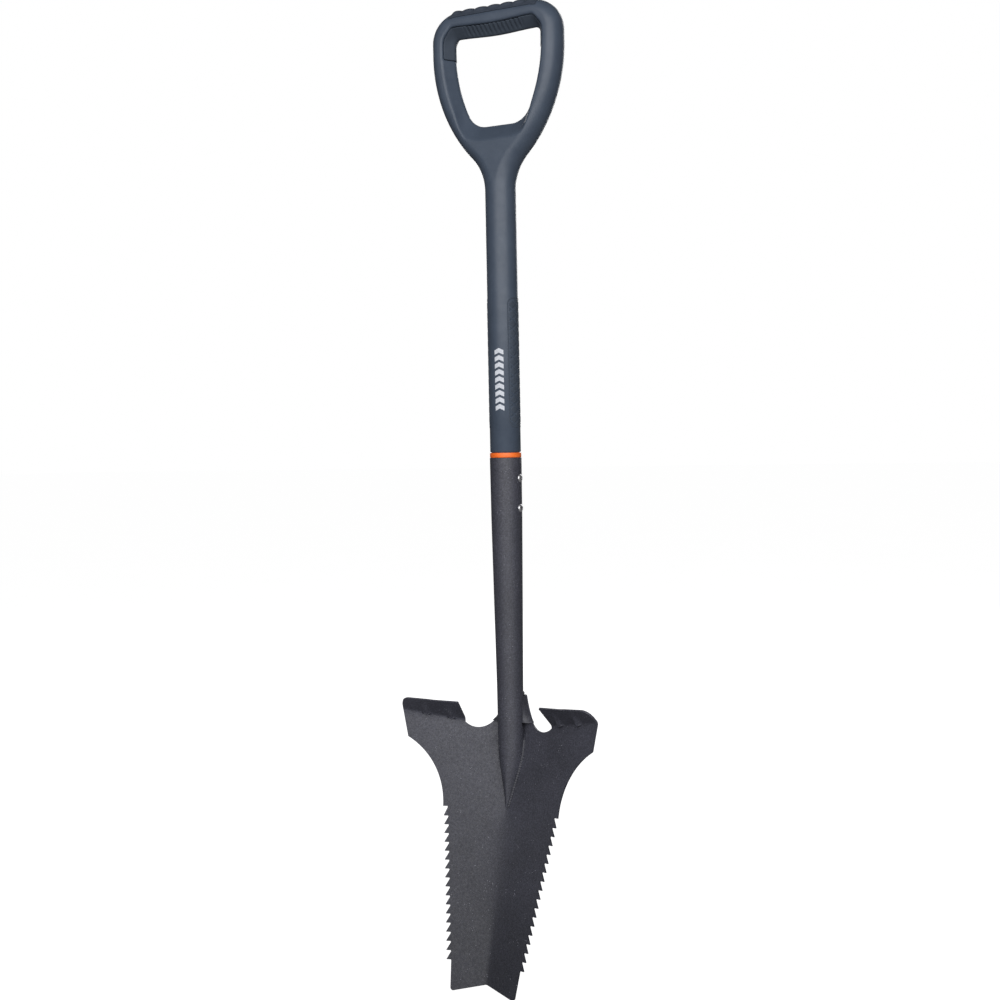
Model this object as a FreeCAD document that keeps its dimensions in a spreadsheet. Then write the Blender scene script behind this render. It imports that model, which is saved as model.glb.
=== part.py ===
"""Detecting shovel: D-grip composite shaft, riveted steel socket tube and welded V-section blade.

Millimetres, +Z up along the shaft, -Y the hollow front of the blade, X the left-right mirror direction.
The origin is on the shaft's axis, at the middle of the plain stretch of composite shaft.
"""
import FreeCAD, Part
import math
import os
import Sketcher

from FreeCAD import Placement, Rotation, Vector

doc = FreeCAD.newDocument("DetectingShovel")
sheet = doc.addObject("Spreadsheet::Sheet", "Dimensions")

CELLS = {
    # composite shaft and its spigot
    "shaft_radius": 15.3, "shaft_bore_radius": 10.6, "bore_top_z": 60.0,
    "clip_half_length": 40.0, "shaft_low_radius": 15.24, "shaft_neck_radius": 15.32, "neck_overlap": 12.0,
    "collar_top_z": -202.5, "collar_height": 5.0, "collar_radius": 15.65,
    "spigot_radius": 14.1, "spigot_tip_radius": 13.5, "spigot_bottom_z": -298.0,
    # D grip
    "grip_depth": 30.0, "grip_half_width": 71.4, "grip_widest_z": 196.0, "grip_top_z": 238.0,
    "grip_corner_radius": 30.0, "grip_side_radius": 152.0, "throat_radius": 48.0,
    "opening_half_width": 48.4, "opening_top_z": 212.0, "opening_floor_z": 122.0,
    "opening_corner_radius": 7.0, "opening_widest_z": 200.0, "opening_side_radius": 155.0,
    "opening_low_radius": 22.0,
    "grip_edge_radius": 10.0,
    # soft grip mouldings
    "liner_width": 6.6, "liner_end_z": 191.0, "cap_edge_z": 229.5, "cap_half_width": 52.0,
    "ridge_count": 8, "ridge_pitch": 13.6, "ridge_radius": 8.5, "ridge_length": 20.0, "cap_rise": 2.4,
    "panel_top_z": -49.0, "panel_bottom_z": -178.0, "panel_start_angle": 43.0, "panel_sweep": 94.0,
    "panel_radius": 15.7, "panel_floor_radius": 13.9,
    # steel socket tube
    "tube_wall": 1.5, "tube_top_radius": 15.85, "tube_waist_radius": 15.5, "tube_waist_z": -270.0,
    "tube_neck_radius": 13.2, "tube_neck_z": -436.0, "tube_nose_radius": 12.7, "tube_nose_z": -566.0,
    "relief_top_z": -473.5, "relief_bottom_z": -488.0, "relief_front_y": -1.0, "relief_back_y": 20.0,
    "relief_slant": 6.0, "relief_width": 40.0, "seat_back_y": 60.0,
    # blade
    "sheet_thickness": 2.0, "crease_y": 14.5, "bend_z": -470.0, "blade_lean": 16.6,
    "wing_angle_top": 22.0, "wing_angle_low": 13.0, "wing_low_z": -575.0, "blank_half_width": 125.0,
    "blank_top_z": -430.0, "blank_bottom_z": -735.0,
    "neck_half_width": 13.0, "neck_top_z": -446.5, "neck_side_x": 15.2, "neck_side_z": -458.5,
    "side_notch_x": 33.5, "side_notch_z": -479.2, "neck_foot_x": 19.0, "neck_foot_z": -469.0,
    "shoulder_x": 103.4, "shoulder_z": -490.2, "fold_outer_x": 109.0, "fold_outer_z": -462.0,
    "fold_inner_x": 49.0, "fold_inner_z": -473.0, "waist_x": 72.9, "waist_z": -524.1,
    "saw_top_x": 64.4, "saw_top_z": -558.6, "tooth_count": 17, "tooth_pitch": 8.33, "tooth_depth": 4.8,
    "tooth_undercut": 0.6,
    "first_tip_x": 62.9, "first_tip_z": -567.9, "last_tip_x": 42.7,
    "point_x": 35.5, "point_z": -728.8, "point_radius": 3.0, "tip_notch_z": -721.4,
    "tread_inner_x": 45.2, "tread_inner_y": -26.8, "tread_inner_z": -453.0,
    "tread_outer_x": 104.0, "tread_outer_y": -40.0, "tread_outer_z": -449.5, "tread_corner_radius": 8.0,
    "tread_end_inset": 1.5, "tread_edge_rise": 0.3,
    # joining parts
    "weld_radius": 2.2, "weld_start_z": -490.0, "weld_end_z": -556.0, "weld_offset": 0.3,
    "neck_bead_radius": 3.4, "neck_bead_top_z": -447.5, "neck_bead_bottom_z": -472.5,
    "neck_bead_x": 12.6, "neck_bead_y": 7.4,
    "rear_weld_z": -445.0, "rear_weld_half_angle": 52.0, "rear_weld_offset": 0.6,
    "rivet_upper_z": -228.0, "rivet_lower_z": -258.0, "rivet_hole_radius": 2.45, "rivet_head_radius": 4.0,
    "rivet_head_height": 1.7, "rivet_bulb_radius": 3.4, "mandrel_radius": 1.3, "mandrel_head_radius": 2.1,
    "rivet_hole_start_x": 8.0, "rivet_hole_length": 12.0, "rivet_play": 0.05, "rivet_head_sink": 0.15,
    "rivet_rim_height": 0.5, "rivet_rim_ease": 0.1, "rivet_crown_share": 0.55, "mandrel_recess": 0.5,
    "rivet_bulb_gap": 0.1, "rivet_bulb_ease": 0.6, "rivet_bulb_reach": 2.0, "rivet_sleeve_reach": 4.5,
    "mandrel_head_gap": 0.1, "mandrel_head_length": 1.6, "mandrel_tip_length": 0.6, "mandrel_tip_radius": 0.9,
}
for row, (name, value) in enumerate(CELLS.items(), start=1):
    sheet.set(f"A{row}", name)
    sheet.set(f"B{row}", str(value))
    sheet.setAlias(f"B{row}", name)
doc.recompute()


def dim(name):
    """The value of one driving dimension."""
    return float(sheet.get(name))


def drive(feature, prop, expression):
    """Binds a property to the sheet; names in the expression are the sheet's aliases."""
    feature.setExpression(prop, expression)


def cell(name):
    return f"Dimensions.{name}"


# ---- sketches and features -------------------------------------------------------------------------------

def new_body(label):
    body = doc.addObject("PartDesign::Body", label)
    body.Label = label
    return body


def new_sketch(body, role, offset=None):
    """A sketch on one of the body's own origin planes, moved within it by offset."""
    plane = next(item for item in body.Origin.OriginFeatures if item.Role == role)
    sketch = body.newObject("Sketcher::SketchObject", f"{body.Name}_sketch")
    sketch.AttachmentSupport = (plane, "")
    sketch.MapMode = "FlatFace"
    if offset is not None:
        sketch.AttachmentOffset = offset
    return sketch


def draw(sketch, start, steps):
    """Draws a closed outline: a step is the next point, or (point on the arc, next point)."""
    here = Vector(*start, 0)
    for step in steps:
        if isinstance(step[0], tuple):
            middle = Vector(*step[0], 0)
            there = Vector(*step[1], 0)
            sketch.addGeometry(Part.Arc(here, middle, there), False)
        else:
            there = Vector(*step, 0)
            sketch.addGeometry(Part.LineSegment(here, there), False)
        here = there


def draw_circle(sketch, radius_name):
    """A circle about the sketch's origin whose radius follows the sheet."""
    index = sketch.addGeometry(Part.Circle(Vector(0, 0, 0), Vector(0, 0, 1), dim(radius_name)), False)
    sketch.addConstraint(Sketcher.Constraint("Coincident", index, 3, -1, 1))
    radius = sketch.addConstraint(Sketcher.Constraint("Radius", index, dim(radius_name)))
    sketch.setExpression(f"Constraints[{radius}]", cell(radius_name))


def feature(body, kind, sketch, name):
    made = body.newObject(f"PartDesign::{kind}", name)
    made.Profile = sketch
    sketch.Visibility = False
    return made


def turn_about_z(body, kind, sketch, name, angle=360.0):
    """A revolution or groove about the shaft's axis, which is the vertical axis of the sketch."""
    made = feature(body, kind, sketch, name)
    made.ReferenceAxis = (sketch, ["V_Axis"])
    made.Angle = angle
    return made


def midplane_pad(body, sketch, name, length):
    made = feature(body, "Pad", sketch, name)
    made.Midplane = True
    drive(made, "Length", length)
    return made


def arc_middle(centre, radius, start_angle, end_angle):
    """The point half-way along an arc, angles in degrees."""
    angle = math.radians((start_angle + end_angle) / 2)
    return (centre[0] + radius * math.cos(angle), centre[1] + radius * math.sin(angle))


# ---- composite handle ------------------------------------------------------------------------------------

def mirrored(steps, start):
    """Completes an outline that runs from one point of the mirror line to another with its mirror image."""
    points = [start]
    for step in steps:
        points.append(step[1] if isinstance(step[0], tuple) else step)
    back = []
    for index in range(len(steps) - 1, -1, -1):
        step = steps[index]
        target = (-points[index][0], points[index][1])
        if isinstance(step[0], tuple):
            back.append(((-step[0][0], step[0][1]), target))
        else:
            back.append(target)
    return steps + back


def side_arc(centre, radius, next_centre):
    """Where a side arc hands over to the arc that it touches, and the middle of the side arc up to its level."""
    dx = next_centre[0] - centre[0]
    dz = next_centre[1] - centre[1]
    swing = math.degrees(math.atan2(dz, dx))
    touch = (centre[0] + radius * math.cos(math.radians(swing)),
             centre[1] + radius * math.sin(math.radians(swing)))
    return touch, arc_middle(centre, radius, swing, 0), swing


def grip_side():
    """Right half of the grip's outer outline from its bottom centre to its top centre, and its start."""
    wide = dim("grip_half_width")
    level = dim("grip_widest_z")
    radius = dim("grip_side_radius")
    shaft = dim("shaft_radius")
    corner = dim("grip_corner_radius")
    throat = dim("throat_radius")
    top = dim("grip_top_z")
    centre = (wide - radius, level)
    throat_x = shaft + throat
    neck_z = level - math.sqrt((radius + throat) ** 2 - (throat_x - centre[0]) ** 2)
    touch, side_middle, swing = side_arc(centre, radius, (throat_x, neck_z))
    throat_middle = arc_middle((throat_x, neck_z), throat, 180, 180 + swing)
    corner_middle = arc_middle((wide - corner, top - corner), corner, 0, 90)
    return (0.0, neck_z), [
        (shaft, neck_z),
        (throat_middle, touch),
        (side_middle, (wide, level)),
        (wide, top - corner),
        (corner_middle, (wide - corner, top)),
        (0.0, top),
    ]


def opening_side(grow=0.0):
    """Right half of the hand opening's outline, grown outward by the width of a liner."""
    wide = dim("opening_half_width") + grow
    level = dim("opening_widest_z")
    radius = dim("opening_side_radius") + grow
    low_radius = dim("opening_low_radius") + grow
    floor = dim("opening_floor_z") - grow
    top = dim("opening_top_z") + grow
    corner = dim("opening_corner_radius") + grow
    centre = (wide - radius, level)
    low_z = floor + low_radius
    low_x = centre[0] + math.sqrt((radius - low_radius) ** 2 - (level - low_z) ** 2)
    touch, side_middle, swing = side_arc(centre, radius, (low_x, low_z))
    low_middle = arc_middle((low_x, low_z), low_radius, -90, swing)
    corner_middle = arc_middle((wide - corner, top - corner), corner, 0, 90)
    return (0.0, floor), [
        (low_x, floor),
        (low_middle, touch),
        (side_middle, (wide, level)),
        (wide, top - corner),
        (corner_middle, (wide - corner, top)),
        (0.0, top),
    ]


def make_handle_blank():
    """Shaft, spigot and D grip in one moulding, before the recesses for its soft parts are cut."""
    body = new_body("handle_blank")
    grip = new_sketch(body, "XZ_Plane")
    for start, steps in (grip_side(), opening_side()):
        draw(grip, start, mirrored(steps, start))
    pad = midplane_pad(body, grip, "GripPad", cell("grip_depth"))
    doc.recompute()
    deep = dim("grip_depth") / 2
    neck_z = grip_side()[0][1]
    rims = []
    for number, edge in enumerate(pad.Shape.Edges, start=1):
        box = edge.BoundBox
        on_face = box.YLength < 0.01 and abs(abs(box.YMin) - deep) < 0.01
        if on_face and box.ZMax > neck_z + 0.5:
            rims.append(f"Edge{number}")
    rounding = body.newObject("PartDesign::Fillet", "GripRounding")
    rounding.Base = (pad, rims)
    drive(rounding, "Radius", cell("grip_edge_radius"))
    doc.recompute()
    shaft = new_sketch(body, "XZ_Plane")
    radius = dim("shaft_radius")
    spigot_top = dim("collar_top_z")
    clip = dim("clip_half_length")
    top = neck_z + dim("neck_overlap")
    draw(shaft, (0, dim("spigot_bottom_z")), [
        (dim("spigot_tip_radius"), dim("spigot_bottom_z")),
        (dim("spigot_radius"), spigot_top),
        (dim("shaft_low_radius"), spigot_top),
        (radius, -clip),
        (radius, clip),
        (dim("shaft_neck_radius"), top),
        (0, top),
        (0, dim("spigot_bottom_z")),
    ])
    turn_about_z(body, "Revolution", shaft, "ShaftTurn")
    doc.recompute()
    bore = new_sketch(body, "XZ_Plane")
    inner = dim("shaft_bore_radius")
    dome_z = dim("bore_top_z")
    draw(bore, (0, dim("spigot_bottom_z") - 1), [
        (inner, dim("spigot_bottom_z") - 1),
        (inner, dome_z),
        (arc_middle((0, dome_z), inner, 0, 90), (0, dome_z + inner)),
        (0, dim("spigot_bottom_z") - 1),
    ])
    before = body.Shape.Volume
    turn_about_z(body, "Groove", bore, "ShaftBore")
    doc.recompute()
    if body.Shape.Volume > before - 1000:
        raise RuntimeError("the shaft's bore cut nothing")
    return body


def make_liner_prism():
    """Everything within the liner's width of the opening, above the liner's two ends."""
    body = new_body("liner_prism")
    sketch = new_sketch(body, "XZ_Plane")
    steps = opening_side(dim("liner_width"))[1]
    end_z = dim("liner_end_z")
    wide = dim("opening_half_width") + dim("liner_width")
    above_end = [(wide, end_z)] + steps[3:]
    draw(sketch, (0.0, end_z), mirrored(above_end, (0.0, end_z)))
    midplane_pad(body, sketch, "LinerPad", f"{cell('grip_depth')} + 4")
    return body


def make_cap_prism():
    """The top slice of the grip's bar, which the ridged cap takes up."""
    body = new_body("cap_prism")
    sketch = new_sketch(body, "XZ_Plane")
    edge = dim("cap_edge_z")
    half = dim("cap_half_width")
    top = dim("grip_top_z") + 1
    draw(sketch, (-half, edge), [(half, edge), (half, top), (-half, top), (-half, edge)])
    midplane_pad(body, sketch, "CapPad", f"{cell('grip_depth')} + 4")
    return body


def boolean(kind, label, base, tool):
    made = doc.addObject(f"Part::{kind}", label)
    made.Label = label
    made.Base = base
    made.Tool = tool
    return made


def fuse(label, shapes):
    made = doc.addObject("Part::MultiFuse", label)
    made.Label = label
    made.Shapes = shapes
    return made


def make_cap(blank, prism):
    """Soft cap over the bar: the slice of the bar itself, with a row of rounded ridges across it."""
    slice_ = boolean("Common", "cap_slice", blank, prism)
    ridges = []
    count = int(dim("ridge_count"))
    pitch = dim("ridge_pitch")
    for number in range(count):
        ridge = doc.addObject("Part::Cylinder", f"cap_ridge_{number + 1}")
        drive(ridge, "Radius", cell("ridge_radius"))
        drive(ridge, "Height", cell("ridge_length"))
        x = (number - (count - 1) / 2) * pitch
        z = dim("grip_top_z") + dim("cap_rise") - dim("ridge_radius")
        half_length = dim("ridge_length") / 2
        ridge.Placement = Placement(Vector(x, half_length, z), Rotation(Vector(1, 0, 0), 90))
        ridges.append(ridge)
    above = doc.addObject("Part::Box", "above_cap_edge")
    above.Length = 2 * dim("cap_half_width")
    above.Width = dim("grip_depth")
    above.Height = 12
    above.Placement = Placement(
        Vector(-dim("cap_half_width"), -dim("grip_depth") / 2, dim("cap_edge_z") + 0.5), Rotation())
    trimmed = boolean("Common", "cap_ridges", fuse("cap_ridge_row", ridges), above)
    cap = fuse("grip_cap", [slice_, trimmed])
    cap.Refine = True
    return cap


def make_side_panel(label, turn):
    """A textured inlay round one side of the shaft."""
    body = new_body(label)
    sketch = new_sketch(body, "XZ_Plane")
    inner = dim("panel_floor_radius")
    outer = dim("panel_radius")
    low = dim("panel_bottom_z")
    high = dim("panel_top_z")
    draw(sketch, (inner, low), [(outer, low), (outer, high), (inner, high), (inner, low)])
    made = turn_about_z(body, "Revolution", sketch, f"{label}_turn")
    drive(made, "Angle", cell("panel_sweep"))
    body.Placement = Placement(Vector(), Rotation(Vector(0, 0, 1), turn))
    return body


def make_collar():
    """Bright trim ring between the composite shaft and the steel tube."""
    body = new_body("trim_ring")
    sketch = new_sketch(body, "XY_Plane")
    draw_circle(sketch, "collar_radius")
    draw_circle(sketch, "spigot_radius")
    pad = feature(body, "Pad", sketch, "RingPad")
    drive(pad, "Length", cell("collar_height"))
    body.Placement = Placement(Vector(0, 0, dim("collar_top_z") - dim("collar_height")), Rotation())
    return body


# ---- blade -----------------------------------------------------------------------------------------------

def crease_y(level):
    """Front-face position of the blade's crease: upright behind the neck, then leaning forward."""
    lean = math.tan(math.radians(dim("blade_lean")))
    return dim("crease_y") - max(0.0, dim("bend_z") - level) * lean


def wing_angle(level):
    """How far each wing is turned towards the front; the wings open out towards the shoulders."""
    bend = dim("bend_z")
    low = dim("wing_low_z")
    share = min(1.0, max(0.0, (level - low) / (bend - low)))
    return dim("wing_angle_low") + share * (dim("wing_angle_top") - dim("wing_angle_low"))


def wing_y(x, level):
    """Front-face position of the sheet at a place in the front view."""
    return crease_y(level) - abs(x) * math.tan(math.radians(wing_angle(level)))


def wing_levels():
    return [dim("blank_top_z"), dim("bend_z"), dim("wing_low_z"), dim("blank_bottom_z")]


def chevron_loft(body, name, back):
    """Lofts V-shaped sections down the blade; back gives how far behind the front face each one reaches."""
    sections = []
    half = dim("blank_half_width")
    for level in wing_levels():
        sketch = new_sketch(body, "XY_Plane", Placement(Vector(0, 0, level), Rotation()))
        front = [(-half, wing_y(half, level)), (0.0, wing_y(0, level)), (half, wing_y(half, level))]
        rear = [(x, back(y)) for x, y in reversed(front)]
        draw(sketch, front[0], front[1:] + rear + [front[0]])
        sections.append(sketch)
    loft = feature(body, "AdditiveLoft", sections[0], name)
    loft.Sections = sections[1:]
    loft.Ruled = True
    return loft


def sheet_depth():
    """Thickness of the leaning sheet measured along Y."""
    lean = math.radians(dim("blade_lean"))
    wing = math.radians(dim("wing_angle_low"))
    return dim("sheet_thickness") / (math.cos(lean) * math.cos(wing))


def blade_outline():
    """Right half of the blade in the front view, from the tip's notch up to the top of the neck."""
    count = int(dim("tooth_count"))
    pitch = dim("tooth_pitch")
    depth = dim("tooth_depth")
    undercut = dim("tooth_undercut")
    first_x = dim("first_tip_x")
    step_in = (first_x - dim("last_tip_x")) / (count - 1)
    corner = dim("point_radius")
    steps = [(dim("point_x") - corner, dim("point_z"))]
    centre = (dim("point_x") - corner, dim("point_z") + corner)
    steps.append((arc_middle(centre, corner, -90, 0), (dim("point_x"), centre[1])))
    for number in range(count - 1, -1, -1):
        tip_x = first_x - number * step_in
        tip_z = dim("first_tip_z") - number * pitch
        steps.append((tip_x - depth, tip_z - undercut))
        steps.append((tip_x, tip_z))
    steps.append((dim("saw_top_x") - depth, dim("saw_top_z") - undercut))
    steps.append((dim("saw_top_x"), dim("saw_top_z")))
    steps.append(((dim("waist_x"), dim("waist_z")), (dim("shoulder_x"), dim("shoulder_z"))))
    steps.append((dim("fold_outer_x"), dim("fold_outer_z")))
    steps.append((dim("fold_inner_x"), dim("fold_inner_z")))
    steps.append(((dim("side_notch_x"), dim("side_notch_z")), (dim("neck_foot_x"), dim("neck_foot_z"))))
    steps.append(((dim("neck_side_x"), dim("neck_side_z")), (dim("neck_half_width"), dim("neck_top_z"))))
    steps.append((0.0, dim("neck_top_z")))
    return (0.0, dim("tip_notch_z")), steps


def tread_frame(side):
    """Placement of one tread's own plane: x along the fold from its outer end, z square to the plate."""
    outer = fold_point("fold_outer", side)
    inner = fold_point("fold_inner", side)
    edge = Vector(side * dim("tread_inner_x"), dim("tread_inner_y"), dim("tread_inner_z"))
    along = (inner - outer).normalize()
    normal = along.cross(edge - inner).normalize()
    across = normal.cross(along)
    return Placement(outer, Rotation(along, across, normal, "ZXY"))


def fold_point(name, side):
    """A point of the fold line, on the front face of the blade."""
    x = dim(f"{name}_x")
    z = dim(f"{name}_z")
    return Vector(side * x, wing_y(x, z), z)


def add_tread(body, side, name):
    """One foot tread: a flange folded forward from the blade's top edge."""
    place = tread_frame(side)
    inverse = place.inverse()

    def flat(point):
        local = inverse.multVec(point)
        return (local.x, local.y)

    outer = flat(fold_point("fold_outer", side))
    inner = flat(fold_point("fold_inner", side))
    edge_in = flat(Vector(side * dim("tread_inner_x"), dim("tread_inner_y"), dim("tread_inner_z")))
    edge_out = flat(Vector(side * dim("tread_outer_x"), dim("tread_outer_y"), dim("tread_outer_z")))
    corner = dim("tread_corner_radius")
    sign = 1 if edge_out[1] > 0 else -1
    corner_side = (outer[0] - dim("tread_end_inset"), edge_out[1] - sign * corner)
    corner_edge = (edge_out[0] + corner, edge_out[1] + dim("tread_edge_rise") * sign)
    inset = corner * (1 - math.sqrt(0.5)) * 0.75
    corner_middle = (edge_out[0] + inset, edge_out[1] - inset * sign)
    sketch = new_sketch(body, "XY_Plane", place)
    draw(sketch, outer, [corner_side, (corner_middle, corner_edge), edge_in, inner, outer])
    pad = feature(body, "Pad", sketch, name)
    drive(pad, "Length", cell("sheet_thickness"))
    pad.Midplane = True
    return pad


def make_blade():
    """Pressed and folded from one steel sheet."""
    body = new_body("blade")
    depth = sheet_depth()
    chevron_loft(body, "BladeSheet", lambda y: y + depth)
    doc.recompute()
    before = body.Shape.Volume
    outline = new_sketch(body, "XZ_Plane")
    start, steps = blade_outline()
    draw(outline, start, mirrored(steps, start))
    far = dim("blank_half_width") + 10
    low = dim("blank_bottom_z") - 10
    high = dim("blank_top_z") + 10
    draw(outline, (-far, low), [(far, low), (far, high), (-far, high), (-far, low)])
    trim = feature(body, "Pocket", outline, "BladeTrim")
    trim.Type = "ThroughAll"
    trim.Midplane = True
    doc.recompute()
    if body.Shape.Volume > 0.8 * before:
        raise RuntimeError("the blade's outline cut nothing")
    for side, name in ((1, "TreadRight"), (-1, "TreadLeft")):
        add_tread(body, side, name)
        doc.recompute()
    return body


# ---- steel tube and joining parts ------------------------------------------------------------------------

def make_tube(seat, rivet_holes):
    """Tapered socket tube whose lower end is cut at a slant to lie on the blade's front face."""
    blank = new_body("tube_blank")
    sketch = new_sketch(blank, "XZ_Plane")
    wall = dim("tube_wall")
    top = dim("collar_top_z") - dim("collar_height")
    profile = [
        (dim("tube_top_radius"), top),
        (dim("tube_waist_radius"), dim("tube_waist_z")),
        (dim("tube_neck_radius"), dim("tube_neck_z")),
        (dim("tube_nose_radius"), dim("tube_nose_z")),
    ]
    inside = [(radius - wall, level) for radius, level in reversed(profile)]
    draw(sketch, profile[0], profile[1:] + inside + [profile[0]])
    turn_about_z(blank, "Revolution", sketch, "TubeTurn")
    relief = new_body("relief_cut")
    side = new_sketch(relief, "YZ_Plane")
    draw(side, (dim("relief_front_y"), dim("relief_top_z")), [
        (dim("relief_back_y"), dim("relief_top_z")),
        (dim("relief_back_y"), dim("relief_bottom_z")),
        (dim("relief_front_y") + dim("relief_slant"), dim("relief_bottom_z")),
        (dim("relief_front_y"), dim("relief_top_z")),
    ])
    midplane_pad(relief, side, "ReliefPad", cell("relief_width"))
    cuts = fuse("tube_cuts", [seat, relief] + rivet_holes)
    return boolean("Cut", "shaft_tube", blank, cuts)


def make_seat():
    """The space behind the blade's front face, which the tube's slant cut follows."""
    body = new_body("blade_seat")
    chevron_loft(body, "SeatSpace", lambda y: dim("seat_back_y"))
    return body


def rivet_levels():
    return [("upper", dim("rivet_upper_z")), ("lower", dim("rivet_lower_z"))]


def make_rivet_holes():
    holes = []
    for name, level in rivet_levels():
        hole = doc.addObject("Part::Cylinder", f"rivet_hole_{name}")
        drive(hole, "Radius", cell("rivet_hole_radius"))
        drive(hole, "Height", cell("rivet_hole_length"))
        hole.Placement = Placement(Vector(dim("rivet_hole_start_x"), 0, level), Rotation(Vector(0, 1, 0), 90))
        holes.append(hole)
    return holes


def turned_fasteners(label, profile):
    """The same turned piece at each rivet, as one group; the profile is (along X, radius) points."""
    pieces = []
    for name, level in rivet_levels():
        sketch = doc.addObject("Sketcher::SketchObject", f"{label}_{name}_profile")
        sketch.Placement = Placement(Vector(0, 0, level), Rotation(Vector(1, 0, 0), 90))
        draw(sketch, profile[0], profile[1:] + [profile[0]])
        piece = doc.addObject("Part::Revolution", f"{label}_{name}")
        piece.Source = sketch
        piece.Axis = Vector(1, 0, 0)
        piece.Base = Vector(0, 0, level)
        piece.Angle = 360
        piece.Solid = True
        pieces.append(piece)
    group = doc.addObject("Part::Compound", label)
    group.Label = label
    group.Links = pieces
    return group


def make_rivets():
    """Blind rivets: a domed sleeve through both walls, set by the mandrel left inside it."""
    face = dim("tube_top_radius") - dim("rivet_head_sink")
    head = dim("rivet_head_radius")
    crown = face + dim("rivet_head_height")
    hole = dim("rivet_hole_radius") - dim("rivet_play")
    core = dim("mandrel_radius")
    socket = core + dim("rivet_play")
    bulb = dim("rivet_bulb_radius")
    inner = dim("shaft_bore_radius") - dim("rivet_bulb_gap")
    sleeve_end = inner - dim("rivet_sleeve_reach")
    sleeves = turned_fasteners("rivet_sleeves", [
        (face, hole), (face, head), (face + dim("rivet_rim_height"), head - dim("rivet_rim_ease")),
        (crown, head * dim("rivet_crown_share")), (crown, socket), (sleeve_end, socket), (sleeve_end, hole),
        (inner - dim("rivet_bulb_reach"), bulb), (inner, bulb - dim("rivet_bulb_ease")), (inner, hole),
    ])
    stub_end = crown - dim("mandrel_recess")
    knob = dim("mandrel_head_radius")
    knob_top = sleeve_end - dim("mandrel_head_gap")
    knob_end = knob_top - dim("mandrel_head_length")
    tip = knob_end - dim("mandrel_tip_length")
    mandrels = turned_fasteners("rivet_mandrels", [
        (stub_end, 0), (stub_end, core), (knob_top, core), (knob_top, knob),
        (knob_end, knob), (tip, dim("mandrel_tip_radius")), (tip, 0),
    ])
    return sleeves, mandrels


def nose_contact(level):
    """Where the slant-cut tube's outside meets the blade's front face on the right, at one level."""
    share = (level - dim("tube_nose_z")) / (dim("tube_neck_z") - dim("tube_nose_z"))
    radius = dim("tube_nose_radius") + share * (dim("tube_neck_radius") - dim("tube_nose_radius"))
    slope = math.tan(math.radians(wing_angle(level)))
    centre = crease_y(level)
    a = 1 + slope ** 2
    b = -2 * slope * centre
    c = centre ** 2 - radius ** 2
    x = (-b + math.sqrt(b ** 2 - 4 * a * c)) / (2 * a)
    return Vector(x, centre - slope * x, level)


def largest_solid(shape):
    """The bead itself, without the slivers that the cut leaves on the far side of a wall."""
    return max(shape.Solids, key=lambda solid: solid.Volume)


def make_side_weld(label, side, neighbour):
    """Welds along one side of the tube: a bent bead by its nose, and the fill between it and the neck above."""
    count = 6
    first = dim("weld_start_z")
    last = dim("weld_end_z")
    offset = dim("weld_offset")
    points = []
    for number in range(count):
        spot = nose_contact(first + (last - first) * number / (count - 1))
        points.append(Vector(side * (spot.x + offset), spot.y - offset, spot.z))
    curve = Part.BSplineCurve()
    curve.interpolate(points)
    path = Part.Wire([curve.toShape()])
    ring = Part.Wire([Part.Circle(points[0], points[1] - points[0], dim("weld_radius")).toShape()])
    bead = path.makePipeShell([ring], True, False)
    bead = bead.cut(neighbour.Shape)
    low = dim("neck_bead_bottom_z")
    foot = Vector(side * dim("neck_bead_x"), dim("neck_bead_y"), low)
    fill = Part.makeCylinder(dim("neck_bead_radius"), dim("neck_bead_top_z") - low, foot, Vector(0, 0, 1))
    fill = fill.cut(neighbour.Shape)
    weld = doc.addObject("Part::Feature", label)
    weld.Label = label
    weld.Shape = Part.makeCompound([largest_solid(bead), largest_solid(fill)])
    return weld


def make_rear_weld(neighbour):
    """Bead round the back of the tube along the top of the blade's neck."""
    body = new_body("rear_weld_bead")
    sketch = new_sketch(body, "XZ_Plane")
    reach = dim("tube_neck_radius") + dim("rear_weld_offset")
    radius = dim("weld_radius")
    level = dim("rear_weld_z")
    draw(sketch, (reach - radius, level), [
        ((reach, level + radius), (reach + radius, level)),
        ((reach, level - radius), (reach - radius, level)),
    ])
    half = dim("rear_weld_half_angle")
    turn_about_z(body, "Revolution", sketch, "RearBead", 2 * half)
    body.Placement = Placement(Vector(), Rotation(Vector(0, 0, 1), 90 - half))
    outside = boolean("Cut", "rear_weld_outside", body, neighbour)
    doc.recompute()
    weld = doc.addObject("Part::Feature", "weld_rear")
    weld.Label = "weld_rear"
    weld.Shape = largest_solid(outside.Shape)
    return weld


# ---- assembly --------------------------------------------------------------------------------------------

def build():
    blank = make_handle_blank()
    liner_prism = make_liner_prism()
    cap_prism = make_cap_prism()
    liner = boolean("Common", "grip_liner", blank, liner_prism)
    cap = make_cap(blank, cap_prism)
    start = dim("panel_start_angle")
    right = make_side_panel("side_panel_right", 90 - start - dim("panel_sweep"))
    left = make_side_panel("side_panel_left", 270 - start - dim("panel_sweep"))
    holes = make_rivet_holes()
    recesses = fuse("handle_recesses", [liner_prism, cap_prism, right, left] + holes)
    handle = boolean("Cut", "handle_body", blank, recesses)
    collar = make_collar()
    blade = make_blade()
    tube = make_tube(make_seat(), holes)
    doc.recompute()
    neck_and_blade = fuse("neck_and_blade", [tube, blade])
    doc.recompute()
    sleeves, mandrels = make_rivets()
    weld_right = make_side_weld("weld_right", 1, neck_and_blade)
    weld_left = make_side_weld("weld_left", -1, neck_and_blade)
    weld_rear = make_rear_weld(neck_and_blade)
    doc.recompute()
    return [handle, liner, cap, right, left, collar, tube, blade, sleeves, mandrels,
            weld_right, weld_left, weld_rear]


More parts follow.
